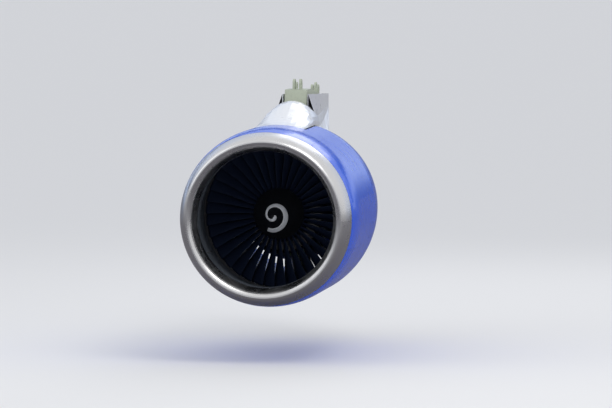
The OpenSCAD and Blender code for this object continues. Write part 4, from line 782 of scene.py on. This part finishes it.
def fan_cowl_joints(side, radius, step):
    """Heads along the four edges of a fan cowl door, and its access panels with their locks."""
    body = f"fan_cowl_door_{side}"
    front_row, rear_row, front, rear = COWL_S + 0.028, SLEEVE_S - 0.032, COWL_S + 0.076, SLEEVE_S - 0.084
    top0, top1 = (sided(side, edge_angle(COWL_TOP_X, s)) for s in COWL_EDGE_AT)
    low = sided(side, -math.pi / 2 + 0.035)
    rows = [head_row(front_row, front_row, top0, low, step), head_row(rear_row, rear_row, top1, low, step),
            head_row(front, rear, top0, top1, step), head_row(front, rear, low, low, step)]
    skin_heads(f"fan_cowl_{side}_fasteners", rows, radius, finish("paint"), body, "blue_paint")
    seams, locks = [], []
    for s0, s1, a0, a1 in PANELS[side]:
        seams.append(skin_seam(*panel_loop(s0, s1, sided(side, a0), sided(side, a1)), PANEL_SEAM))
        places = np.linspace(s0 + LOCK_IN_S, s1 - LOCK_IN_S, LOCKS)
        locks += [np.stack([places, np.full(LOCKS, sided(side, edge))], -1)
                  for edge in (a0 + LOCK_IN_A, a1 - LOCK_IN_A)]
    put_piece(f"fan_cowl_{side}_panel_seams", *joined(seams), finish("sealant"), body, "structure")
    skin_heads(f"fan_cowl_{side}_panel_locks", locks, LOCK_R, finish("paint"), body, "blue_paint")


def sleeve_joints(side, radius, step):
    """Heads along the four edges of a translating sleeve."""
    front_row, rear_row, front, rear = SLEEVE_S + 0.056, EXIT_S - 0.100, SLEEVE_S + 0.116, EXIT_S - 0.150
    top, top_end, top_row = (sided(side, edge_angle(SLEEVE_TOP_X, s))
                             for s in (SLEEVE_EDGE_AT, rear, rear_row))
    low = sided(side, -math.pi / 2 + 0.045)
    rows = [head_row(front_row, front_row, top, low, step), head_row(rear_row, rear_row, top_row, low, step),
            head_row(front, rear, low, low, step), head_row(front, rear, top, top_end, step)]
    skin_heads(f"sleeve_{side}_fasteners", rows, radius, finish("paint"), f"reverser_sleeve_{side}",
               "blue_paint")


def duct_joints():
    """Splices of the inlet liner, and the soft strip round the blade tips."""
    s = np.linspace(LIP_INNER_S + 0.01, ATTACH_S - 0.005, num=70)
    lines = [polar(duct_r(s), s, a) for a in LINER_SPLICES]
    splices = [strips(line, -unit(off_axis(line)), width=0.022, height=0.0008) for line in lines]
    put_piece("inlet_liner_splices", *joined(splices), finish("belt"), "engine", "duct_liner")
    root, face, slope, (fore, aft) = CASE_R + 0.0005, CASE_R - 0.0015, 0.004, BELT_S
    belt = turned([(root, fore), (face, fore + slope), (face, aft - slope), (root, aft)])
    put_piece("fan_rub_strip", *belt, finish("belt"), "engine", "duct_liner")


class JET_OT_joints(bpy.types.Operator):
    """Adds fastener rows, sealed joints, access panels, liner splices and the fan rub strip"""
    bl_idname = "jet.joints"
    bl_label = "Joints and fasteners"

    def execute(self, context):
        cowl = context.scene.jet_cowl
        inlet_joints(cowl.fastener, cowl.spacing)
        for side in ("right", "left"):
            fan_cowl_joints(side, cowl.fastener, cowl.spacing)
            sleeve_joints(side, cowl.fastener, cowl.spacing)
        duct_joints()
        return {"FINISHED"}


# Pipes and wiring

BUNDLE_R = 1.285
# Wiring bundles round the fan case: station, angles from and to in degrees, wave and its turns
BUNDLES = ((1.700, -150, -30, 0.006, 3), (2.250, -160, 5, 0.006, 4), (1.900, 182, 210, 0.0, 3),
           (2.120, 40, 64, 0.0, 3))
# Fan case pipes: marks of radius, station and angle in degrees
PIPES = (((1.29, 1.60, 5), (1.29, 1.62, -40), (1.29, 2.00, -60), (1.29, 2.40, -62)),
         ((1.30, 1.58, -75), (1.30, 1.90, -78), (1.30, 2.10, -100), (1.30, 2.42, -104)),
         ((1.29, 1.62, 190), (1.29, 1.80, 215), (1.29, 2.05, 236), (1.29, 2.42, 240)),
         ((1.29, 1.56, 44), (1.29, 1.80, 50), (1.29, 2.00, 60), (1.29, 2.42, 62)))
CLAMPED = slice(8, -6, 12)                    # points of a pipe that carry a clamp
CLAMP_RISE = (-0.036, -0.004, 0.012)          # foot, pipe and top of a clamp, from the middle of its pipe
# Radii of the lines
BUNDLE, PIPE, CLAMP, MANIFOLD, FEED = 0.013, 0.010, 0.007, 0.008, 0.006
FEED_ANGLES = np.radians(np.arange(130, 411, 20))
NOZZLE_S = 3.456                              # ring of the fuel nozzles
FEED_R = (0.511, 0.530, 0.547)                # a feed from its nozzle to the manifold
# Fuel manifolds: radius, station, angles from and to in degrees, wave and its turns
MANIFOLDS = ((0.548, NOZZLE_S, 125, 415, 0.0, 3), (0.560, 3.520, 130, 410, 0.004, 6))


def arc_path(r, s, a0, a1, count, wave, turns):
    """Line round the axis from one angle to another in degrees, with a slight wave along the station."""
    t = np.linspace(0, 1, count)
    a0, a1 = math.radians(a0), math.radians(a1)
    return polar(r, s + wave * np.sin(2 * math.pi * turns * t), a0 + (a1 - a0) * t)


def bent_path(marks, count=90):
    """Pipe line through (radius, station, degrees) marks, its corners rounded by a running mean."""
    r, s, a = np.asarray(marks, float).T
    t = np.linspace(0, len(r) - 1, count)
    width = max(3, count // (3 * len(r))) | 1
    rows = (np.interp(t, np.arange(len(r)), v) for v in (r, s, np.radians(a)))
    padded = (np.pad(row, width // 2, mode="edge") for row in rows)
    return polar(*(np.convolve(row, np.ones(width) / width, mode="valid") for row in padded))


class JET_OT_lines(bpy.types.Operator):
    """Adds the pipes, wiring bundles and clamps on the fan case and the core"""
    bl_idname = "jet.lines"
    bl_label = "Pipes and wiring"

    def execute(self, context):
        bundles = [arc_path(BUNDLE_R, s, a0, a1, 160, wave, turns) for s, a0, a1, wave, turns in BUNDLES]
        put_piece("wiring_bundles", *tubes(bundles, BUNDLE), finish("harness"), "engine", "accessory_grey")
        pipes = [bent_path(marks) for marks in PIPES]
        put_piece("fan_case_pipes", *tubes(pipes, PIPE), finish("steel"), "engine", "accessory_grey")
        clamps = []
        for pipe in pipes:
            spots = pipe[CLAMPED]
            out = unit(off_axis(spots))
            clamps.append(tubes(np.stack([spots + out * rise for rise in CLAMP_RISE], 1), CLAMP, sides=8))
        put_piece("pipe_clamps", *joined(clamps), finish("machined"), "engine", "accessory_grey")
        core = [arc_path(r, s, a0, a1, 240, wave, turns) for r, s, a0, a1, wave, turns in MANIFOLDS]
        put_piece("fuel_manifolds", *tubes(core, MANIFOLD), finish("steel"), "engine", "rotor_steel")
        feeds = polar(np.array(FEED_R)[None], NOZZLE_S, FEED_ANGLES[:, None])
        put_piece("fuel_feeds", *tubes(feeds, FEED, sides=8), finish("steel"), "engine", "rotor_steel")
        return {"FINISHED"}


# Studio

# Skies seen in paint and metal: height against colour, for what lies ahead of the engine and behind it
AHEAD_SKY = ((0.0, (0.36, 0.36, 0.38)), (0.10, (0.50, 0.51, 0.54)), (0.35, (0.85, 0.86, 0.88)),
             (0.75, (1.0, 1.0, 1.0)))
BEHIND_SKY = ((0.0, (0.10, 0.11, 0.14)), (0.035, (0.20, 0.24, 0.32)), (0.08, (0.62, 0.74, 1.0)),
              (0.16, (0.70, 0.80, 1.0)), (0.175, (0.05, 0.07, 0.14)), (0.25, (0.05, 0.07, 0.14)),
              (0.27, (0.66, 0.77, 1.0)), (0.8, (1.0, 1.0, 1.0)))
FLOOR_HALF = 400
# Name, place, side, power and colour of each lamp
LAMPS = (("key_lamp", (7, -10, 11), 7, 620, (1.0, 0.98, 0.95)),
         ("fill_lamp", (-11, -7, 6), 9, 160, (0.94, 0.97, 1.0)),
         ("rear_lamp", (3, 14, 9), 8, 300, (1.0, 1.0, 1.0)))
LAMP_AIM_S = 2.0
CAMERA_FAR, LENS, SENSOR = 76.0, 289.0, 36.0
AIM_RIGHT, AIM_UP = 0.624, 0.237              # from the middle of the lip to the middle of the picture


def floor_finish(colour):
    """Plain floor that shows pale to the camera and dark grey to glossy rays, a painted reflection, keeps
    shadows, and is not seen from below.
    """
    material = bpy.data.materials.new("Plain floor")
    material.use_nodes = True
    tree = material.node_tree
    shader = tree.nodes["Principled BSDF"]
    shader.inputs["Roughness"].default_value = 0.9
    shader.inputs["Specular IOR Level"].default_value = 0.1
    # Painted reflection: glossy rays see the floor dark grey instead of its own pale colour
    glossy = tree.nodes.new("ShaderNodeLightPath").outputs["Is Glossy Ray"]
    tree.links.new(blended(tree, glossy, (*colour, 1), (0.20, 0.19, 0.20, 1)), shader.inputs["Base Color"])
    back = tree.nodes.new("ShaderNodeNewGeometry").outputs["Backfacing"]
    clear = tree.nodes.new("ShaderNodeBsdfTransparent")
    tree.links.new(mixed(tree, back, shader.outputs[0], clear.outputs[0]),
                   tree.nodes["Material Output"].inputs["Surface"])
    return material


def sky_ramp(tree, height, stops):
    """Sky colour against height by a row of (height, colour) stops."""
    ramp = tree.nodes.new("ShaderNodeValToRGB")
    marks = ramp.color_ramp.elements
    for k, (place, colour) in enumerate(stops):
        mark = marks[k] if k < 1 else marks[-1] if k == len(stops) - 1 else marks.new(place)
        mark.position, mark.color = place, (*colour, 1)
    tree.links.new(height, ramp.inputs[0])
    return ramp.outputs[0]


def studio_world():
    """Even light for diffuse rays, white behind for the camera, and for glossy rays a soft sky that is
    bright above and grey near the horizon, so that paint and metal have something to show."""
    world = bpy.data.worlds.new("Studio")
    bpy.context.scene.world = world
    world.use_nodes = True
    tree = world.node_tree
    tree.nodes.clear()
    path = tree.nodes.new("ShaderNodeLightPath").outputs
    where = tree.nodes.new("ShaderNodeTexCoord").outputs["Generated"]
    x, y, height = add_node(tree, "ShaderNodeSeparateXYZ", i0=where).outputs
    toward_key = maths(tree, "ADD", height, maths(tree, "MULTIPLY", maths(tree, "MAXIMUM", x, 0.0), 0.45))
    aside = maths(tree, "MAXIMUM", maths(tree, "SUBTRACT", x, 0.30), 0.0)
    past_side = maths(tree, "ADD", height, maths(tree, "MULTIPLY", aside, 1.2))
    sky = blended(tree, maths(tree, "GREATER_THAN", y, 0.3), sky_ramp(tree, toward_key, AHEAD_SKY),
                  sky_ramp(tree, past_side, BEHIND_SKY))
    shine = add_node(tree, "ShaderNodeBackground", Color=sky, Strength=1.0)
    even = add_node(tree, "ShaderNodeBackground", Color=(0.93, 0.95, 1.0, 1), Strength=0.85)
    seen = add_node(tree, "ShaderNodeBackground", Color=(0.93, 0.93, 0.94, 1), Strength=1.0)
    glossy = maths(tree, "MAXIMUM", path["Is Glossy Ray"], path["Is Transmission Ray"])
    light = mixed(tree, glossy, even.outputs[0], shine.outputs[0])
    tree.links.new(mixed(tree, path["Is Camera Ray"], light, seen.outputs[0]),
                   tree.nodes.new("ShaderNodeOutputWorld").inputs["Surface"])


def soft_lamp(name, place, size, energy, colour):
    """A square area lamp at a place round the engine, turned to face the fan case."""
    lamp = bpy.data.lights.new(name, "AREA")
    lamp.shape, lamp.size, lamp.energy, lamp.color = "SQUARE", size, energy, colour
    obj = bpy.data.objects.new(name, lamp)
    aim = Vector((0, LAMP_AIM_S - LUG_S, AXIS_Z))
    obj.location = Vector(place)
    obj.rotation_euler = (aim - obj.location).to_track_quat("-Z", "Y").to_euler()
    bpy.context.scene.collection.objects.link(obj)


class JET_OT_studio(bpy.types.Operator):
    """Lays the floor and sets the light and the camera"""
    bl_idname = "jet.studio"
    bl_label = "Studio"

    def execute(self, context):
        scene, settings = context.scene, context.scene.jet_studio
        low, half = AXIS_Z - BELLY_R - settings.floor_gap, FLOOR_HALF
        mesh = bpy.data.meshes.new("floor")
        mesh.from_pydata([(-half, -half, low), (half, -half, low), (half, half, low), (-half, half, low)],
                         [], [(0, 1, 2, 3)])
        floor = bpy.data.objects.new("floor", mesh)
        scene.collection.objects.link(floor)
        floor.data.materials.append(floor_finish(tuple(settings.floor)))
        studio_world()
        for lamp in LAMPS:
            soft_lamp(*lamp)
        camera = bpy.data.cameras.new("camera")
        camera.lens, camera.sensor_width, camera.clip_end = LENS, SENSOR, 2000.0
        obj = bpy.data.objects.new("camera", camera)
        az, el = settings.azimuth, settings.elevation
        back = Vector((math.sin(az) * math.cos(el), -math.cos(az) * math.cos(el), math.sin(el)))
        turn = back.to_track_quat("Z", "Y")
        right, up = turn @ Vector((1, 0, 0)), turn @ Vector((0, 1, 0))
        aim = Vector((0, LIP_S - LUG_S, AXIS_Z)) + right * AIM_RIGHT + up * AIM_UP
        obj.rotation_euler = turn.to_euler()
        obj.location = aim + back * CAMERA_FAR
        scene.collection.objects.link(obj)
        scene.camera = obj
        scene.view_settings.view_transform = "Standard"
        return {"FINISHED"}


class JET_PT_panel(bpy.types.Panel):
    """Lists the building steps in the sidebar"""
    bl_label = "Jet Engine"
    bl_space_type = "VIEW_3D"
    bl_region_type = "UI"
    bl_category = "Jet Engine"

    def draw(self, context):
        for settings in (context.scene.jet_cowl, context.scene.jet_fan, context.scene.jet_studio):
            box = self.layout.box()
            for key in settings.__annotations__:
                box.prop(settings, key)
        for step in STEPS:
            self.layout.operator(step.bl_idname)


SETTINGS = (("jet_cowl", CowlSettings), ("jet_fan", FanSettings), ("jet_studio", StudioSettings))
STEPS = (JET_OT_finishes, JET_OT_fan, JET_OT_joints, JET_OT_lines, JET_OT_studio)


def register():
    for name, group in SETTINGS:
        bpy.utils.register_class(group)
        setattr(bpy.types.Scene, name, PointerProperty(type=group))
    for cls in (*STEPS, JET_PT_panel):
        bpy.utils.register_class(cls)


def unregister():
    for cls in (JET_PT_panel, *reversed(STEPS)):
        bpy.utils.unregister_class(cls)
    for name, group in reversed(SETTINGS):
        delattr(bpy.types.Scene, name)
        bpy.utils.unregister_class(group)


def main():
    register()
    bpy.ops.jet.finishes()
    bpy.ops.jet.fan()
    bpy.ops.jet.joints()
    bpy.ops.jet.lines()
    bpy.ops.jet.studio()


if __name__ == "__main__":
    main()
